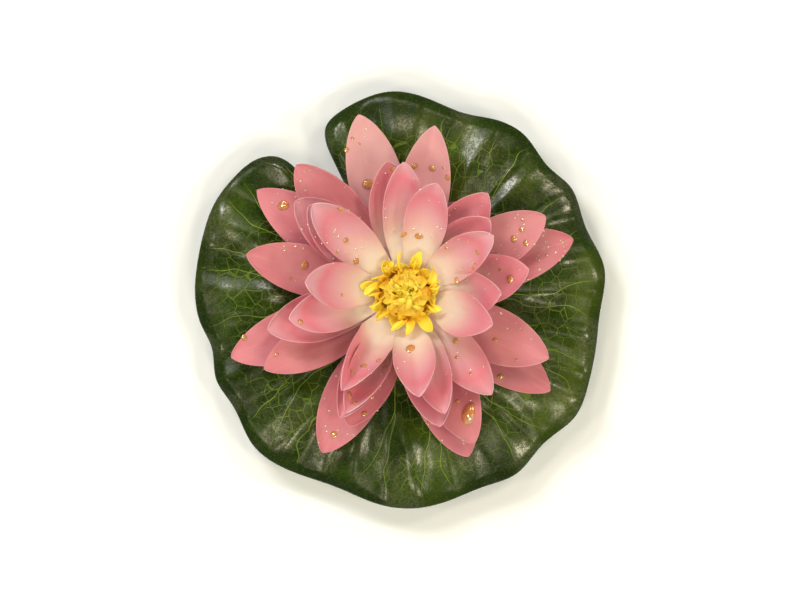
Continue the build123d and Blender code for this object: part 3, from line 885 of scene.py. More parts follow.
def turned(points, direction):
    """Points in an (outward, sideways, up) frame turned to a direction in degrees about the axis."""
    c, s = math.cos(math.radians(direction)), math.sin(math.radians(direction))
    x, y, z = points[..., 0], points[..., 1], points[..., 2]
    return np.stack([c * x - s * y, s * x + c * y, z], axis=-1)


# For each tier from the lowest: cup, lengthwise fold, outward curl of the tip, how pointed the tip is,
# widest place along the petal, how strongly lengths are evened out by standing shorter ones up, and the
# width as a share of the setting.
TIER_SHAPES = (
    {"cup": 0.18, "fold": 0.26, "curl": 1.2, "sharpness": 0.70, "widest": 0.54, "even": 0.0, "wide": 1.07},
    {"cup": 0.28, "fold": 0.28, "curl": 1.6, "sharpness": 0.68, "widest": 0.54, "even": 0.3, "wide": 1.03},
    {"cup": 0.60, "fold": 0.16, "curl": 1.2, "sharpness": 0.62, "widest": 0.55, "even": 0.6, "wide": 0.99},
    {"cup": 0.80, "fold": 0.08, "curl": 1.6, "sharpness": 0.56, "widest": 0.57, "even": 0.8, "wide": 0.98},
    {"cup": 0.85, "fold": 0.04, "curl": 2.2, "sharpness": 0.50, "widest": 0.59, "even": 0.8, "wide": 1.00},
)


# Petals of the two lowest tiers here are painted paler than the rest, as painted light where light falls
# brightest: middle direction and half the spread, in degrees.
PAINTED_LIGHT_PETALS = (93, 21)
# Upper petals that fold up lengthwise like a boat, with painted shade on one half: middle direction, half
# the spread, how far.
FOLDED = ((240, 9, 1.0), (283, 9, 0.45))


def petal_shape(rng, tier, direction, settings):
    """How one petal is formed, a little different from its neighbours."""
    look = TIER_SHAPES[tier]
    shape = {
        "sag": (1.6 + 1.2 * min(tier, 2) + rng.uniform(-0.4, 0.4)) * MM,
        "curl": look["curl"] * rng.uniform(0.3, 1.5) * MM,
        "half_width": settings.width / 2 * look["wide"] * rng.uniform(0.94, 1.06),
        "foot": settings.foot / settings.width,
        "sharpness": look["sharpness"] * rng.uniform(0.95, 1.06),
        "widest": look["widest"] + rng.uniform(-0.03, 0.03),
        "cup": look["cup"] * rng.uniform(0.75, 1.3),
        "fold": look["fold"] * rng.uniform(0.0, 1.6),
        "waves": rng.uniform(0.8, 1.5),
        "phase": rng.random(),
        "ruffle": rng.uniform(0.2, 0.7) * MM,
        "roll": rng.uniform(-0.6, 1.2) * MM,
        "roll_side": rng.choice((-1, 1)),
        "twist": rng.uniform(-0.12, 0.12),
        "bend": rng.uniform(-1.4, 1.4) * MM,
        "folded": 0,
    }
    amounts = [amount for middle, spread, amount in FOLDED if abs(direction - middle) < spread]
    if tier > 1 and amounts:
        folded = max(amounts)
        cup = look["cup"] * (1 + 0.7 * folded)
        shape.update(folded=folded, cup=cup, fold=0.5 * folded, roll=0, twist=0)
    return shape


def petal_tier(tier, settings):
    """All petals of one tier and the hub ring they grow from, as one mesh."""
    node = f"petal_blank_{tier + 1}"
    evenness = TIER_SHAPES[tier]["even"]
    rng = random.Random(settings.seed * 100 + tier)
    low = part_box(node)[0].z
    hub_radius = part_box("ring_nut")[1].x + 0.6 * MM
    foot_place = (hub_radius - 2.0 * MM, low + 0.5 * MM)
    tabs = tabs_of(node)
    longest = max(math.hypot(reach - foot_place[0], top - foot_place[1]) for _, reach, top in tabs)
    parts = []
    for direction, reach, top in tabs:
        run = reach - foot_place[0]
        own = math.hypot(run, top - foot_place[1])
        length = own + max(0.93 * longest - own, 0) * evenness
        tip_place = (reach, foot_place[1] + math.sqrt(max(length**2 - run**2, 0)))
        shape = petal_shape(rng, tier, direction, settings)
        grid, values, flat = petal_grid(foot_place, tip_place, shape)
        grid = turned(grid, direction)
        # Painted light: petals in that direction get the highest tone, which the material mixes towards
        # blush.
        painted_light = tier < 2 and abs(direction - PAINTED_LIGHT_PETALS[0]) < PAINTED_LIGHT_PETALS[1]
        tone = 0.97 if painted_light else 0.9 * rng.random()
        values["tone"] = np.full(grid.shape[:2], tone)
        values["tier"] = np.full(grid.shape[:2], tier / (TIERS - 1))
        flat = flat + np.array([0.05 * rng.random(), 0.05 * rng.random(), 0.1 * tone])
        parts.append(sheet_from_grid(grid, settings.sheet, values, {"flat": flat}))
        parts += frayed_edge(rng, grid, tone, tier, 12 - 2 * tier)
    parts.append(hub_ring(foot_place[1], hub_radius, settings.sheet, tier))
    return join_parts(parts)


def frayed_edge(rng, grid, tone, tier, count):
    """Short loose fibres at a petal's cut edge: thin bent three-sided strands."""
    normals = grid_normals(grid)
    corners = [2 * math.pi * corner / 3 for corner in range(3)]
    steps = np.linspace(0, 1, 5)
    parts = []
    for _ in range(count):
        row, column = rng.randrange(int(0.35 * len(grid)), len(grid)), rng.choice((0, -1))
        base, normal = grid[row, column], normals[row, column]
        outward = unit(base - grid[row - 2, grid.shape[1] // 2])
        side = np.cross(outward, normal)
        length, lean, sag = rng.uniform(0.5, 1.9) * MM, rng.uniform(-0.8, 0.8), rng.uniform(-0.3, 0.6)
        bend = side * lean + normal * sag
        line = base + length * (outward * steps[:, None] + bend * steps[:, None] ** 2)
        rings = [
            centre + 0.07 * MM * (1 - 0.6 * step) * (side * math.cos(c) + normal * math.sin(c))
            for centre, step in zip(line, steps) for c in corners
        ]
        faces = [[2, 1, 0], [12, 13, 14]]
        for ring in range(0, 12, 3):
            faces += [[ring + c, ring + (c + 1) % 3, ring + 3 + (c + 1) % 3, ring + 3 + c] for c in range(3)]
        values = {
            "along": 0.7, "across": 1.0, "rim": 0.2, "tone": tone, "tier": tier / (TIERS - 1),
            "back": 0.0, "shade": 0.0,
        }
        values = {label: np.full(len(rings), value) for label, value in values.items()}
        points = np.array(rings)
        parts.append({"points": points, "faces": faces, "values": values, "vectors": {"flat": points}})
    return parts


def hub_ring(height, radius, thickness, tier):
    """The flat ring in the middle of a blank."""
    turns = np.linspace(0, 2 * math.pi, 73)
    radii = np.linspace(frame_neck_radius() + 0.2 * MM, radius, 5)
    grid = np.empty((len(turns), len(radii), 3))
    grid[..., 0] = np.cos(turns)[:, None] * radii
    grid[..., 1] = np.sin(turns)[:, None] * radii
    grid[..., 2] = height
    ones = np.ones(grid.shape[:2])
    values = {"along": 0 * ones, "across": 0 * ones, "rim": 3 * ones, "tone": 0.5 * ones}
    values.update(tier=ones * tier / (TIERS - 1), shade=0 * ones)
    return sheet_from_grid(grid[:, ::-1], thickness, values, {"flat": grid})


def petal_material(settings):
    """Airbrushed satin sheet: cream foot, pink blade, pale cut edge and a fine weave."""
    material, g, shader = new_material("petal_foam")
    flat = g.attribute("flat", "Vector")
    along, across = g.attribute("along"), g.attribute("across")
    tier, tone = g.attribute("tier"), g.attribute("tone")
    rim, back = g.attribute("rim"), g.attribute("back")
    brushed = g.minus(g.noise(g.scaled(flat, 1.0, 0.45, 1.0), 95.0, 3.0, 0.55), 0.5)
    level = g.plus(along, g.times(brushed, 0.22))
    level = g.plus(level, g.times(g.minus(tone, 0.5), 0.14))
    arc = g.times(g.times(across, across), 0.10)
    level = g.plus(level, arc)
    inner = g.ramp(level, [
        (0.28, settings.cream), (0.46, settings.blush), (0.60, settings.pink), (0.82, settings.rose),
        (0.98, settings.pink),
    ])
    faded = tuple(0.88 * a + 0.12 * b for a, b in zip(settings.dusty, settings.blush))
    outer = g.ramp(level, [
        (0.2, settings.dusty), (0.6, settings.dusty), (0.85, faded), (1.0, settings.dusty),
    ])
    # Painted light: the highest tones, chiefly those of the paler petals in one direction, are mixed towards
    # blush.
    outer = g.mix(g.remap(tone, 0.86, 0.95, 0.0, 0.5), outer, settings.blush)
    colour = g.mix(g.remap(tier, 0.12, 0.72), outer, inner)
    clouds = g.noise(flat, 60.0, 3.0, 0.5)
    colour = g.mix(g.remap(clouds, 0.45, 0.75, 0.0, 0.2), colour, settings.blush)
    deeper = g.times(g.remap(tone, 0.5, 0.1), g.remap(along, 0.45, 0.75, 0.0, 0.5))
    colour = g.mix(deeper, colour, settings.rose)
    # Painted shade: the half of a folded petal turned away from the light is mixed towards rose.
    colour = g.mix(g.times(g.attribute("shade"), 0.75), colour, settings.rose)
    weave = g.group(woven_effect(), {"Place": flat, "Threads": 2600.0})
    colour = g.mix(g.times(weave["Mask"], 0.07), colour, settings.cream)
    streaks = g.noise(g.scaled(flat, 1.0, 0.06, 1.0), 900.0, 2.0)
    colour = g.mix(g.remap(streaks, 0.5, 0.8, 0.0, 0.16), colour, settings.edge)
    colour = g.mix(g.times(back, 0.25), colour, settings.blush)
    cut = g.remap(g.noise(flat, 260.0, 1.0), 0.35, 0.7, 0.25, 0.75)
    cut = g.times(cut, g.remap(tier, 0.0, 0.8, 0.2, 0.5))
    cut = g.times(g.remap(rim, 0.05, 0.30, 1.0, 0.0), cut)
    colour = g.mix(cut, colour, settings.edge)
    ribs = g.noise(g.scaled(flat, 1.0, 0.03, 1.0), 420.0, 2.0)
    height = g.plus(g.times(weave["Height"], 0.35), g.times(ribs, 0.9))
    g.fill(shader, {
        "Base Color": colour,
        "Roughness": g.remap(clouds, 0.3, 0.7, 0.52, 0.68),
        "Normal": g.bump(height, 0.35, 0.00016),
        "Subsurface Weight": 0.22,
        "Subsurface Radius": (0.0040, 0.0016, 0.0012),
        "Subsurface Scale": 1.0,
        "Sheen Weight": 0.12,
        "Specular IOR Level": 0.35,
    })
    return material


class LILY_OT_petals(bpy.types.Operator):
    """Builds the five tiers of petals"""

    bl_idname = "lily.petals"
    bl_label = "Petals"

    def execute(self, context):
        settings = context.scene.lily_petals
        material = petal_material(settings)
        for tier in range(TIERS):
            points, faces, values, vectors = petal_tier(tier, settings)
            made = make_object(f"petal_tier_{tier + 1}", points, faces, material, values, vectors)
            refine(made, 1)
            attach(made, "root")
            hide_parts(f"petal_blank_{tier + 1}")
        return {"FINISHED"}


# ---- Stamens ------------------------------------------------------------------------------------
# Rise of a strip in degrees, as (least, most) from its base to its tip: 0 outwards, 90 up, 180 inwards.
OVER_HEADINGS = ((80, 104), (90, 125), (120, 190), (150, 420))
OUTWARD_HEADINGS = ((70, 92), (60, 100), (-10, 80), (-160, 60))
TUFT_HEADINGS = ((20, 160), (0, 180), (-90, 270), (-200, 380))
# Each crown: number of strips, their length, the share that curls over the middle, and how far inside
# the nut's outside they stand.
CROWNS = {
    "stamen_crown_outer": (30, 12.0 * MM, 0.55, 1.4 * MM),
    "stamen_crown_inner": (34, 17.0 * MM, 0.95, 2.4 * MM),
}
TUFTS = 26
HEART_RADIUS = 9.0 * MM


def ribbon(rng, base, direction, headings, length, width, thickness, wander, twist, rows=18):
    """A curled strip. headings are its rise in degrees from base to tip."""
    share = np.linspace(0, 1, rows)
    stops = np.linspace(0, 1, len(headings))
    rise = np.radians(np.interp(share, stops, headings))
    step = length / (rows - 1)
    out = base[0] + np.concatenate([[0], np.cumsum(np.cos(rise[:-1]) * step)])
    up = base[1] + np.concatenate([[0], np.cumsum(np.sin(rise[:-1]) * step)])
    swing = wander * np.sin(math.pi * share * rng.uniform(0.6, 1.4)) * rng.choice((-1, 1))
    line = np.stack([out, swing, up], axis=1)
    ahead = unit(np.gradient(line, axis=0))
    flat_side = np.tile([0.0, 1.0, 0.0], (rows, 1))
    normal = unit(np.cross(ahead, flat_side))
    side = np.cross(normal, ahead)
    angle = (twist * share)[:, None]
    cos, sin = np.cos(angle), np.sin(angle)
    side, normal = side * cos + normal * sin, normal * cos - side * sin
    columns = np.linspace(-1, 1, 5)
    taper = np.clip(1.02 - np.clip((share - 0.72) / 0.28, 0, 1) ** 2.2, 0.12, 1) ** 0.7
    bumps = 1 + 0.16 * np.sin(share * rng.uniform(8, 14) + rng.uniform(0, 6))
    half = width / 2 * taper * bumps
    crimp = rng.uniform(0.15, 0.4) * width * columns**2
    grid = line[:, None, :] + side[:, None, :] * (half[:, None] * columns)[..., None]
    grid = grid + normal[:, None, :] * (crimp[None, :] * taper[:, None])[..., None]
    grid = turned(grid, direction)
    ones = np.ones((rows, len(columns)))
    values = {"along": share[:, None] * ones, "tone": rng.random() * ones}
    layer = rng.random() * ones * 0.1
    flat = np.stack([half[:, None] * columns, share[:, None] * length * ones, layer], axis=2)
    return sheet_from_grid(grid, thickness, values, {"flat": flat})


def stamen_skirt_parts(settings, rng):
    """The broad tabs that show outside the crowns."""
    node = "stamen_skirt"
    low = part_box(node)[0].z
    foot_place = (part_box("ring_nut")[1].x - 2.4 * MM, low + 0.5 * MM)
    parts = []
    for direction, reach, top in tabs_of(node):
        shape = {
            "sag": 0.4 * MM, "curl": rng.uniform(-0.6, 1.4) * MM, "half_width": rng.uniform(2.5, 3.1) * MM,
            "foot": 0.75, "sharpness": 0.55, "widest": 0.45, "cup": rng.uniform(0.2, 0.6), "fold": 0.15,
            "waves": 1.0, "phase": rng.random(), "ruffle": 0.25 * MM, "roll": 0.0, "roll_side": 1,
            "twist": rng.uniform(-0.3, 0.3), "bend": rng.uniform(-0.8, 0.8) * MM, "folded": 0,
        }
        tip = (reach + 0.5 * MM, top + rng.uniform(0.0, 3.0) * MM)
        grid, values, flat = petal_grid(foot_place, tip, shape, 20, 9)
        values = {"along": 0.55 + 0.45 * values["along"], "tone": np.full(grid.shape[:2], rng.random())}
        parts.append(sheet_from_grid(turned(grid, direction), settings.sheet, values, {"flat": flat}))
    return parts


def crown_parts(settings, rng, node):
    """Curled strips that stand on a crown's ring."""
    count, length, inward, inset = CROWNS[node]
    low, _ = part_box(node)
    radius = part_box("ring_nut")[1].x - inset
    parts = []
    for index in range(count):
        direction = 360 / count * (index + rng.uniform(-0.45, 0.45))
        over = rng.random() < inward
        headings = [rng.uniform(*limits) for limits in (OVER_HEADINGS if over else OUTWARD_HEADINGS)]
        base = (radius + rng.uniform(-0.8, 0.3) * MM, low.z + 0.4 * MM)
        own_length = length * rng.uniform(0.7, 1.2) * (1 if over else 0.85)
        parts.append(ribbon(
            rng, base, direction, headings, own_length, rng.uniform(2.4, 4.0) * MM, settings.sheet,
            rng.uniform(0.3, 4.0) * MM, rng.uniform(-2.4, 2.4),
        ))
    return parts


def tuft_parts(settings, rng):
    """Short curls heaped over the middle of the inner crown."""
    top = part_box("lens_dome")[1].z
    parts = []
    for _ in range(TUFTS):
        start = rng.uniform(1.0, 7.5) * MM
        headings = [rng.uniform(*limits) for limits in TUFT_HEADINGS]
        base = (start, top + rng.uniform(0.8, 2.6) * MM)
        parts.append(ribbon(
            rng, base, rng.uniform(0, 360), headings, rng.uniform(5.5, 9.0) * MM, rng.uniform(2.6, 4.2) * MM,
            settings.sheet, rng.uniform(0.5, 2.5) * MM, rng.uniform(-2.0, 2.0), 14,
        ))
    return parts


def heart_part(radius, low, high):
    """The packed, lumpy heart that fills the crown between its strips."""
    mesh = bmesh.new()
    bmesh.ops.create_icosphere(mesh, subdivisions=5, radius=1.0)
    points = []
    for vert in mesh.verts:
        lump = 1 + 0.10 * noise.noise(vert.co * 3.1) + 0.07 * noise.noise(vert.co * 7.3)
        place = vert.co * lump
        points.append((place.x * radius, place.y * radius, low + (high - low) * (0.5 + 0.5 * place.z)))
    points = np.array(points)
    faces = [[v.index for v in face.verts] for face in mesh.faces]
    mesh.free()
    ones = np.ones(len(points))
    values = {"along": 0.35 * ones, "tone": 0.5 * ones, "back": 0 * ones}
    return {"points": points, "faces": faces, "values": values, "vectors": {"flat": points}}


def stamen_material(settings):
    """Crinkled yellow foam, with painted shade in amber towards the foot of each strip."""
    material, g, shader = new_material("stamen_foam")
    flat = g.attribute("flat", "Vector")
    tone = g.times(g.minus(g.attribute("tone"), 0.5), 0.35)
    level = g.plus(g.attribute("along"), tone)
    blotch = g.minus(g.noise(flat, 320.0, 3.0), 0.5)
    level = g.plus(level, g.times(blotch, 0.35))
    # Painted shade: amber towards the foot of each strip, gold and yellow above.
    colour = g.ramp(level, [(0.15, settings.amber), (0.45, settings.gold), (0.85, settings.yellow)])
    grain = g.grain(flat, 3200.0, 0.4, 0.5, 0.65)
    g.fill(shader, {
        "Base Color": g.mix(g.times(grain["Smudge"], 0.18), colour, settings.amber),
        "Roughness": grain["Roughness"],
        "Normal": g.bump(grain["Height"], 0.4, 0.00012),
        "Subsurface Weight": 0.25,
        "Subsurface Radius": (0.0025, 0.0015, 0.0005),
        "Subsurface Scale": 1.0,
    })
    return material


class LILY_OT_stamens(bpy.types.Operator):
    """Builds the skirt of tabs and the two curled crowns"""

    bl_idname = "lily.stamens"
    bl_label = "Stamens"

    def execute(self, context):
        settings = context.scene.lily_stamens
        rng = random.Random(settings.seed)
        material = stamen_material(settings)
        groups = {"stamen_skirt": stamen_skirt_parts(settings, rng)}
        for node in CROWNS:
            groups[node] = crown_parts(settings, rng, node)
        lens_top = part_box("lens_dome")[1].z
        groups["stamen_crown_inner"] += tuft_parts(settings, rng)
        groups["stamen_crown_inner"].append(
            heart_part(HEART_RADIUS, lens_top - 3.0 * MM, lens_top + 0.6 * MM)
        )
        for node, parts in groups.items():
            points, faces, values, vectors = join_parts(parts)
            made = make_object(f"{node}_strips", points, faces, material, values, vectors)
            refine(made, 1)
            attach(made, "root")
            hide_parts(node)
        return {"FINISHED"}


# ---- Dew ----------------------------------------------------------------------------------------
# Larger drops: direction in degrees from +X, distance from the axis and size across, in millimetres.
DEW_SPOTS = (
    (298, 59, 6.0), (144, 66, 4.2), (164, 46, 3.6), (109, 51, 4.6), (95, 54, 3.6), (86, 56, 2.8),
    (78, 56, 2.8), (70, 54, 2.6), (77, 26, 3.4), (92, 26, 3.0), (146, 26, 3.2), (138, 35, 2.8),
    (127, 46, 3.0), (27, 53, 3.0), (23, 57, 2.6), (29, 58, 2.2), (22, 32, 2.6), (30, 36, 2.4),
    (15, 23, 2.8), (8, 46, 3.4), (275, 24, 4.0), (240, 36, 3.0), (248, 31, 2.6), (236, 41, 2.6),
    (241, 50, 3.0), (245, 52, 2.4), (251, 55, 2.6), (243, 69, 3.0), (195, 47, 2.6), (195, 73, 2.8),
    (319, 55, 2.6), (317, 30, 2.8), (333, 44, 2.2),
)
# A drop wider than this, in millimetres, has run: it is drawn out, its fat end in this direction.
RUN_DROP = 5.0
RUN_STRETCH = 1.7
RUN_HEADING = 251
# The specks lie in this many sprays, each this wide in degrees.
SPRAYS = 14
SPRAY_SPREAD = 9
# The way the far, brightly lit side of a drop faces: that side is painted paler as painted light, the other
# side darker as painted shade.
DEW_LIT = Vector((0.62, -0.78, 0))


def upper_surfaces():
    """The petals as they stand, for finding what lies under a point."""
    points, faces, start = [], [], 0
    for tier in range(TIERS):
        mesh = bpy.data.objects[f"petal_tier_{tier + 1}"].data
        points += [v.co.copy() for v in mesh.vertices]
        faces += [[v + start for v in polygon.vertices] for polygon in mesh.polygons]
        start += len(mesh.vertices)
    return BVHTree.FromPolygons(points, faces)


def drop_part(rng, place, normal, size, stretch, height, steps, heading=None):
    """One drop: a low dome with an uneven outline, sunk a little into the sheet, its fat end towards
    heading."""
    mesh = bmesh.new()
    bmesh.ops.create_icosphere(mesh, subdivisions=steps, radius=0.5)
    turn = math.radians(rng.uniform(0, 360) if heading is None else heading)
    ahead = Vector((math.cos(turn), math.sin(turn), 0))
    ahead = (ahead - normal * ahead.dot(normal)).normalized()
    side = normal.cross(ahead)
    seed = rng.uniform(0, 50)
    points, lit = [], []
    for vert in mesh.verts:
        x, y, z = vert.co
        uneven = 1 + 0.10 * noise.noise(Vector((x * 3 + seed, y * 3, z * 3)))
        taper = 1 + 0.30 * (stretch - 1) * x
        flat = z * height if z > 0 else z * height * 0.5
        here = ahead * x * stretch + side * y * taper + normal * flat
        points.append(np.array(place + here * size * uneven + normal * size * 0.04))
        # How far each point lies towards the lit side, for the drop's painted light and painted shade.
        lit.append(here.dot(DEW_LIT) * 2)
    faces = [[v.index for v in face.verts] for face in mesh.faces]
    mesh.free()
    return {"points": np.array(points), "faces": faces, "values": {"lit": np.array(lit)}}


def glue_material(name, colour, clear, roughness):
    """Hot glue, tinted and slightly cloudy, with painted shade on one side and painted light where light
    gathers in it.
    """
    material, g, shader = new_material(name)
    place = g.object_place()
    cloud = g.noise(place, 500.0, 2.0)
    deep = tuple(c * k for c, k in zip(colour, (0.97, 0.84, 0.72)))
    body = g.mix(g.remap(cloud, 0.35, 0.7, 0.0, 0.6), colour, deep)
    lit = g.attribute("lit")
    # Painted shade on the side away from the light; below, painted light, paler, on the lit side.
    body = g.mix(g.remap(lit, -0.2, -0.9, 0.0, 0.6), body, tuple(0.55 * c for c in deep))
    body = g.mix(g.remap(lit, 0.35, 0.85, 0.0, 0.65), body, srgb(255, 226, 176))
    g.fill(shader, {
        "Base Color": body,
        "Roughness": g.remap(cloud, 0.3, 0.7, roughness, roughness + 0.08),
        "Normal": g.bump(g.noise(place, 900.0, 1.0), 0.15, 0.0001),
        "Transmission Weight": clear,
        "IOR": 1.5,
        "Coat Weight": 1.0,
        "Coat Roughness": 0.06,
        "Coat IOR": 2.0,
        "Subsurface Weight": 0.5,
        "Subsurface Radius": (0.004, 0.002, 0.001),
        "Subsurface Scale": 1.0,
    })
    return material


class LILY_OT_dew(bpy.types.Operator):
    """Sets glue dew on the petals"""

    bl_idname = "lily.dew"
    bl_label = "Dew"

    def execute(self, context):
        settings = context.scene.lily_dew
        rng = random.Random(settings.seed)
        surface = upper_surfaces()
        top = CAD_BOX[1][2] + 0.05

        def under(direction, distance):
            turn = math.radians(direction)
            origin = Vector((distance * math.cos(turn), distance * math.sin(turn), top))
            place, normal = surface.ray_cast(origin, Vector((0, 0, -1)))[:2]
            return (place, normal if normal.z > 0 else -normal) if place else None

        drops, specks = [], []
        for direction, distance, size in DEW_SPOTS:
            found = under(direction, distance * MM)
            if found:
                run = size > RUN_DROP
                stretch = RUN_STRETCH if run else rng.uniform(1.0, 1.3)
                heading = RUN_HEADING if run else None
                height = rng.uniform(0.45, 0.6)
                drops.append(drop_part(rng, *found, size * MM, stretch, height, 4, heading))
        for _ in range(settings.drops):
            found = under(rng.uniform(0, 360), rng.uniform(22, 74) * MM)
            if found:
                size, stretch = rng.uniform(1.1, 2.0) * MM, rng.uniform(1, 1.3)
                drops.append(drop_part(rng, *found, size, stretch, 0.55, 3))
        sprays = [rng.uniform(0, 360) for _ in range(SPRAYS)]
        for _ in range(settings.specks):
            direction = rng.choice(sprays) + rng.gauss(0, SPRAY_SPREAD)
            found = under(direction, rng.uniform(26, 78) * MM)
            if found:
                specks.append(drop_part(rng, *found, rng.uniform(0.4, 1.15) * MM, 1.0, 0.8, 2))
        groups = (
            ("dew_drops", drops, glue_material("dew_amber", settings.amber, 0.4, 0.10)),
            # The specks are coloured pale and nearly opaque so that they read as glints: partly real tiny
            # drops, partly a painted highlight.
            ("dew_specks", specks, glue_material("dew_pale_glint", srgb(255, 240, 200), 0.1, 0.06)),
        )
        for name, parts, material in groups:
            points, faces, values, _ = join_parts(parts)
            made = make_object(name, points, faces, material, values)
            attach(made, "root")
        return {"FINISHED"}


# ---- Finishes of the CAD pieces -----------------------------------------------------------------
def moulded_material(name, colour, low_gloss, high_gloss, scale=1800.0, bump=0.12, clear=0.0):
    """Moulded plastic or rubber: fine grain, smudged gloss and a slight change of colour."""
    material, g, shader = new_material(name)
    place = g.object_place()
    grain = g.grain(place, scale, 0.3, low_gloss, high_gloss)
    shade = g.mottle(place, 70.0, 0.2, colour, tuple(0.82 * channel for channel in colour))
    g.fill(shader, {
        "Base Color": g.mix(g.times(grain["Smudge"], 0.12), shade, srgb(150, 140, 124)),
        "Roughness": grain["Roughness"],
        "Normal": g.bump(grain["Height"], bump, 0.0001),
        "Transmission Weight": clear,
    })
    return material


def metal_material(name, colour, roughness, stretch):
    """Drawn or turned metal with fine scratches along one way."""
    material, g, shader = new_material(name)
    place = g.object_place()
    scratches = g.noise(g.scaled(place, *stretch), 2600.0, 3.0)
    stains = g.noise(place, 240.0, 3.0)
    dull = tuple(0.7 * channel for channel in colour)
    g.fill(shader, {
        "Base Color": g.mix(g.remap(stains, 0.45, 0.8, 0.0, 0.5), colour, dull),
        "Roughness": g.remap(scratches, 0.3, 0.7, roughness - 0.08, roughness + 0.12),
        "Normal": g.bump(scratches, 0.12, 0.00004),
        "Metallic": 1.0,
    })
    return material


def foam_block_material():
    """Closed-cell float foam with open cells at its cut faces."""
    material, g, shader = new_material("float_foam")
    place = g.object_place()
    cells = g.cells(place, 1400.0)
    pits = g.remap(cells, 0.1, 0.5)
    shaded = g.times(g.remap(cells, 0.45, 0.7), 0.4)
    colour = g.mix(shaded, srgb(238, 238, 230), srgb(196, 196, 186))
    stain = g.remap(g.noise(place, 45.0, 4.0), 0.5, 0.8, 0.0, 0.25)
    g.fill(shader, {
        "Base Color": g.mix(stain, colour, srgb(206, 200, 170)),
        "Roughness": g.remap(pits, 0.0, 1.0, 0.6, 0.85),
        "Normal": g.bump(pits, 0.5, 0.0002),
    })
    return material


def board_material():
    """Solder mask over copper tracks, seen as slightly raised lighter lines."""
    material, g, shader = new_material("board_laminate")
    place = g.object_place()
    across, along, _ = g.add("ShaderNodeSeparateXYZ", {0: place}).outputs
    values = {"Vector": place, "Scale": 140.0}
    block = g.add("ShaderNodeTexVoronoi", values, distance="MANHATTAN").outputs["Color"]
    way = g.math("GREATER_THAN", g.add("ShaderNodeSeparateColor", {0: block}).outputs[0], 0.5)
    lane = g.add("ShaderNodeMix", {0: way, 2: across, 3: along}, data_type="FLOAT").outputs[0]
    track = g.math("GREATER_THAN", g.math("SINE", g.times(lane, 2 * math.pi / 0.0018)), 0.35)
    g.fill(shader, {
        "Base Color": g.mix(track, srgb(14, 78, 40), srgb(32, 112, 60)),
        "Roughness": g.remap(g.noise(place, 300.0, 2.0), 0.3, 0.7, 0.28, 0.42),
        "Normal": g.bump(track, 0.3, 0.00005),
    })
    return material


def resistor_material():
    """Lacquered body with generic colour bands round its length."""
    material, g, shader = new_material("resistor_coat")
    place = g.object_place()
    along = g.add("ShaderNodeSeparateXYZ", {0: place}).outputs[1]
    bands = g.math("SINE", g.times(along, 2 * math.pi / 0.0014))
    on_body = g.math("LESS_THAN", g.math("ABSOLUTE", along), 0.0026)
    band = g.times(g.remap(bands, 0.55, 0.65), on_body)
    tint = g.mix(g.remap(along, -0.003, 0.003), srgb(120, 60, 30), srgb(40, 40, 46))
    body = g.mottle(place, 400.0, 0.3, srgb(205, 178, 132), srgb(186, 156, 110))
    g.fill(shader, {
        "Base Color": g.mix(band, body, tint),
        "Roughness": g.remap(g.noise(place, 900.0, 2.0), 0.3, 0.7, 0.2, 0.35),
    })
    return material


def dress(material, *nodes):
    """Gives CAD nodes a finished material."""
    for node in nodes:
        mesh = frame["nodes"][node].data
        mesh.materials.clear()
        mesh.materials.append(material)


class LILY_OT_capsule(bpy.types.Operator):
    """Finishes the float, the capsule, its hatch and button, and the lens"""

    bl_idname = "lily.capsule"
    bl_label = "Float and capsule"

    def execute(self, context):
        dress(foam_block_material(), "float_ring")
        housing = moulded_material("housing_plastic", srgb(232, 231, 224), 0.30, 0.46)
        dress(housing, "capsule_body", "base_plate")
        hatch = moulded_material("hatch_plastic", srgb(206, 208, 204), 0.34, 0.5, bump=0.2)
        dress(hatch, "battery_hatch")
        button = moulded_material("button_rubber", srgb(92, 98, 98), 0.6, 0.75, 2600.0, 0.25)
        dress(button, "power_button")
        dress(moulded_material("nut_plastic", srgb(226, 196, 96), 0.35, 0.5), "ring_nut")
        lens = moulded_material("lens_plastic", srgb(250, 236, 190), 0.5, 0.6, clear=0.25)
        dress(lens, "lens_dome")
        rubber = moulded_material("seal_rubber", srgb(40, 40, 42), 0.55, 0.75, 3000.0, 0.2)
        dress(rubber, "lens_gasket", "base_gasket", "hatch_seal", "button_seal")
        dress(metal_material("screw_steel", srgb(190, 190, 192), 0.28, (1, 1, 0.1)), "plate_screws")
        return {"FINISHED"}


class LILY_OT_electronics(bpy.types.Operator):
    """Finishes the cells, contacts, board and what stands on it"""

    bl_idname = "lily.electronics"
    bl_label = "Cells and electronics"

    def execute(self, context):
        cell = metal_material("cell_steel", srgb(214, 214, 216), 0.22, (0.1, 1, 1))
        dress(cell, "battery_cell_lower", "battery_cell_upper")
        nickel = metal_material("contact_nickel", srgb(208, 200, 180), 0.2, (1, 1, 0.1))
        dress(nickel, "side_contact", "spring_contact")
        dress(metal_material("lead_tin", srgb(206, 208, 212), 0.3, (1, 1, 0.05)), "led_leads")
        steel = metal_material("board_screw_steel", srgb(186, 188, 190), 0.3, (1, 1, 0.1))
        dress(steel, "board_screws")
        cradle = moulded_material("cradle_plastic", srgb(226, 226, 220), 0.45, 0.6)
        dress(cradle, "battery_cradle", "led_collar")
        black = moulded_material("chip_plastic", srgb(44, 44, 48), 0.45, 0.65, 3500.0, 0.3)
        dress(black, "driver_chip", "switch_body", "switch_plunger")
        epoxy = moulded_material("led_epoxy", srgb(250, 246, 232), 0.05, 0.12, bump=0.02, clear=0.8)
        dress(epoxy, "led_lamp")
        dress(board_material(), "circuit_board")
        dress(resistor_material(), "resistor")
        return {"FINISHED"}


# ---- Stage --------------------------------------------------------------------------------------
KEY_PLACE = (-0.50, 0.62, 1.15)
KEY_SIDE = 0.34
KEY_COLOUR = (1.0, 0.97, 0.90)
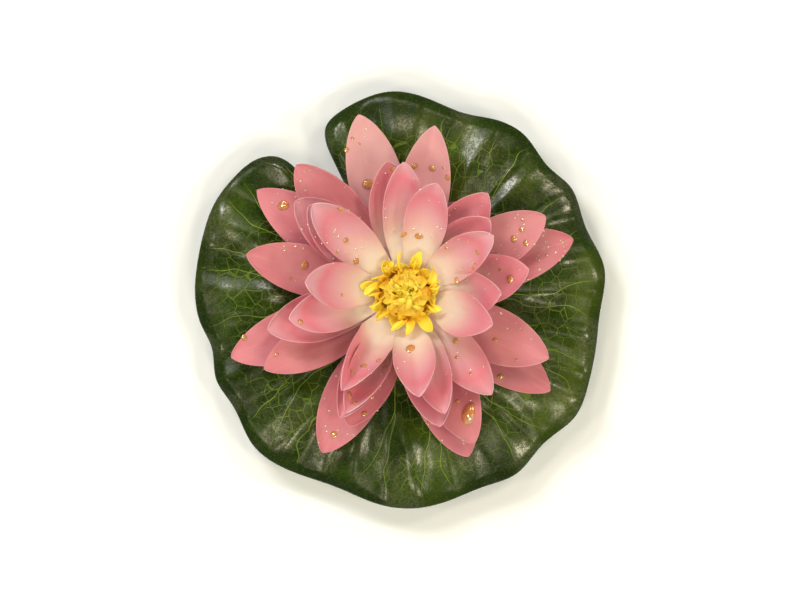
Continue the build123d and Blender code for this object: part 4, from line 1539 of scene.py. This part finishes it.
# Soft boxes round the object: direction and zenith angle in degrees, side in metres, share of the key's
# power.
SOFT_BOXES = (
    (-78, 28, 0.22, 0.46), (-25, 29, 0.22, 0.52), (40, 28, 0.20, 0.34),
    (190, 29, 0.20, 0.30), (238, 27, 0.20, 0.30), (95, 27, 0.18, 0.24),
)
BOX_DISTANCE = 1.35
BOX_COLOUR = (1.0, 0.90, 0.66)
# The sky is bright at the horizon and dark overhead, as shares of the ambient setting.
SKY_COLOUR = (0.93, 0.965, 1.0)
LOW_SKY = 1.35
HIGH_SKY = 0.06
FLOOR_HALF = 3.0
FLOOR_DROP = 0.0003       # floor below the object's lowest point
SENSOR = 36.0             # camera sensor width in millimetres


def area_light(name, place, aim, size, power, colour):
    """A square soft light aimed at a point."""
    data = bpy.data.lights.new(name, "AREA")
    data.shape = "SQUARE"
    data.size = size
    data.energy = power
    data.color = colour
    light = bpy.data.objects.new(name, data)
    light.location = place
    light.rotation_euler = (Vector(aim) - Vector(place)).to_track_quat("-Z", "Y").to_euler()
    bpy.context.scene.collection.objects.link(light)


def floor_material(settings):
    """Plain pale paper, there only for the camera and only from above, so that the underside is lit and
    can be seen."""
    material, g, shader = new_material("floor_paper")
    behind = g.add("ShaderNodeNewGeometry").outputs["Backfacing"]
    seen = g.add("ShaderNodeLightPath").outputs["Is Camera Ray"]
    g.fill(shader, {
        "Base Color": settings.floor,
        "Roughness": g.remap(g.noise(g.object_place(), 900.0), 0.3, 0.7, 0.75, 0.9),
        "Alpha": g.times(seen, g.minus(1.0, behind)),
    })
    return material


def set_sky(scene, ambient):
    """Even light from the sky, fading towards the zenith."""
    world = scene.world or bpy.data.worlds.new("World")
    scene.world = world
    world.use_nodes = True
    nodes = world.node_tree.nodes
    background = nodes.get("Background") or nodes.new("ShaderNodeBackground")
    sky = Graph(world.node_tree)
    upward = sky.add("ShaderNodeTexCoord").outputs["Generated"]
    rise = sky.add("ShaderNodeSeparateXYZ", {0: upward}).outputs["Z"]
    sky.fill(background, {
        "Color": SKY_COLOUR,
        "Strength": sky.remap(rise, 0.60, 0.90, LOW_SKY * ambient, HIGH_SKY * ambient),
    })


def set_lights(aim, power):
    """The key light and the ring of soft boxes, all aimed at one point."""
    area_light("key", KEY_PLACE, aim, KEY_SIDE, power, KEY_COLOUR)
    for number, (turn, zenith, size, share) in enumerate(SOFT_BOXES):
        flat, tilt = math.radians(turn), math.radians(zenith)
        level = math.sin(tilt)
        away = Vector((level * math.cos(flat), level * math.sin(flat), math.cos(tilt)))
        place = Vector(aim) + BOX_DISTANCE * away
        area_light(f"soft_box_{number + 1}", place, aim, size, power * share, BOX_COLOUR)


def set_camera(scene, aim, distance, view_width):
    """A camera straight above a point."""
    data = bpy.data.cameras.new("camera")
    data.sensor_width = SENSOR
    data.lens = SENSOR * distance / view_width
    data.clip_end = 20.0
    camera = bpy.data.objects.new("camera", data)
    camera.location = (aim.x, aim.y, aim.z + distance)
    scene.collection.objects.link(camera)
    scene.camera = camera


class LILY_OT_stage(bpy.types.Operator):
    """Sets the floor, the soft lights and the camera"""

    bl_idname = "lily.stage"
    bl_label = "Stage"

    def execute(self, context):
        settings = context.scene.lily_stage
        scene = context.scene
        signs = ((-1, -1), (1, -1), (1, 1), (-1, 1))
        corners = [(x * FLOOR_HALF, y * FLOOR_HALF, -FLOOR_DROP) for x, y in signs]
        floor = make_object("floor", corners, [[0, 1, 2, 3]], floor_material(settings))
        floor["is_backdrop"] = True
        scene.view_settings.view_transform = "Standard"
        leaf = middle_of("leaf_pad")
        set_sky(scene, settings.ambient)
        set_lights(leaf, settings.key)
        set_camera(scene, leaf, settings.distance, settings.view_width)
        return {"FINISHED"}


# ---- Panel and registration ---------------------------------------------------------------------
OPERATORS = (
    LILY_OT_leaf, LILY_OT_petals, LILY_OT_stamens, LILY_OT_dew, LILY_OT_capsule, LILY_OT_electronics,
    LILY_OT_stage,
)
SETTINGS = {
    "lily_leaf": LilyLeafSettings, "lily_petals": LilyPetalSettings, "lily_stamens": LilyStamenSettings,
    "lily_dew": LilyDewSettings, "lily_stage": LilyStageSettings,
}


class LILY_PT_panel(bpy.types.Panel):
    """Lists the pieces and their settings"""

    bl_idname = "LILY_PT_panel"
    bl_label = "Water lily light"
    bl_space_type = "VIEW_3D"
    bl_region_type = "UI"
    bl_category = "Lily"

    def draw(self, context):
        layout = self.layout
        for operator in OPERATORS:
            layout.operator(operator.bl_idname)
        for name, group in SETTINGS.items():
            box = layout.box()
            box.label(text=group.__doc__)
            for key in group.__annotations__:
                box.prop(getattr(context.scene, name), key)


def register():
    """Registers settings, operators and the panel."""
    for name, group in SETTINGS.items():
        bpy.utils.register_class(group)
        setattr(bpy.types.Scene, name, PointerProperty(type=group))
    for one in (*OPERATORS, LILY_PT_panel):
        bpy.utils.register_class(one)


def unregister():
    """Takes everything out again."""
    for one in reversed((*OPERATORS, LILY_PT_panel)):
        bpy.utils.unregister_class(one)
    for name, group in SETTINGS.items():
        delattr(bpy.types.Scene, name)
        bpy.utils.unregister_class(group)


def main():
    """Builds everything in order and works out the two boxes."""
    register()
    bpy.ops.lily.leaf()
    bpy.ops.lily.petals()
    bpy.ops.lily.stamens()
    bpy.ops.lily.dew()
    bpy.ops.lily.capsule()
    bpy.ops.lily.electronics()
    bpy.ops.lily.stage()
    boxes = {"cad": CAD_BOX, "visual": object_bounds()}
    plain = {name: [list(corner) for corner in box] for name, box in boxes.items()}


if __name__ == "__main__":
    main()
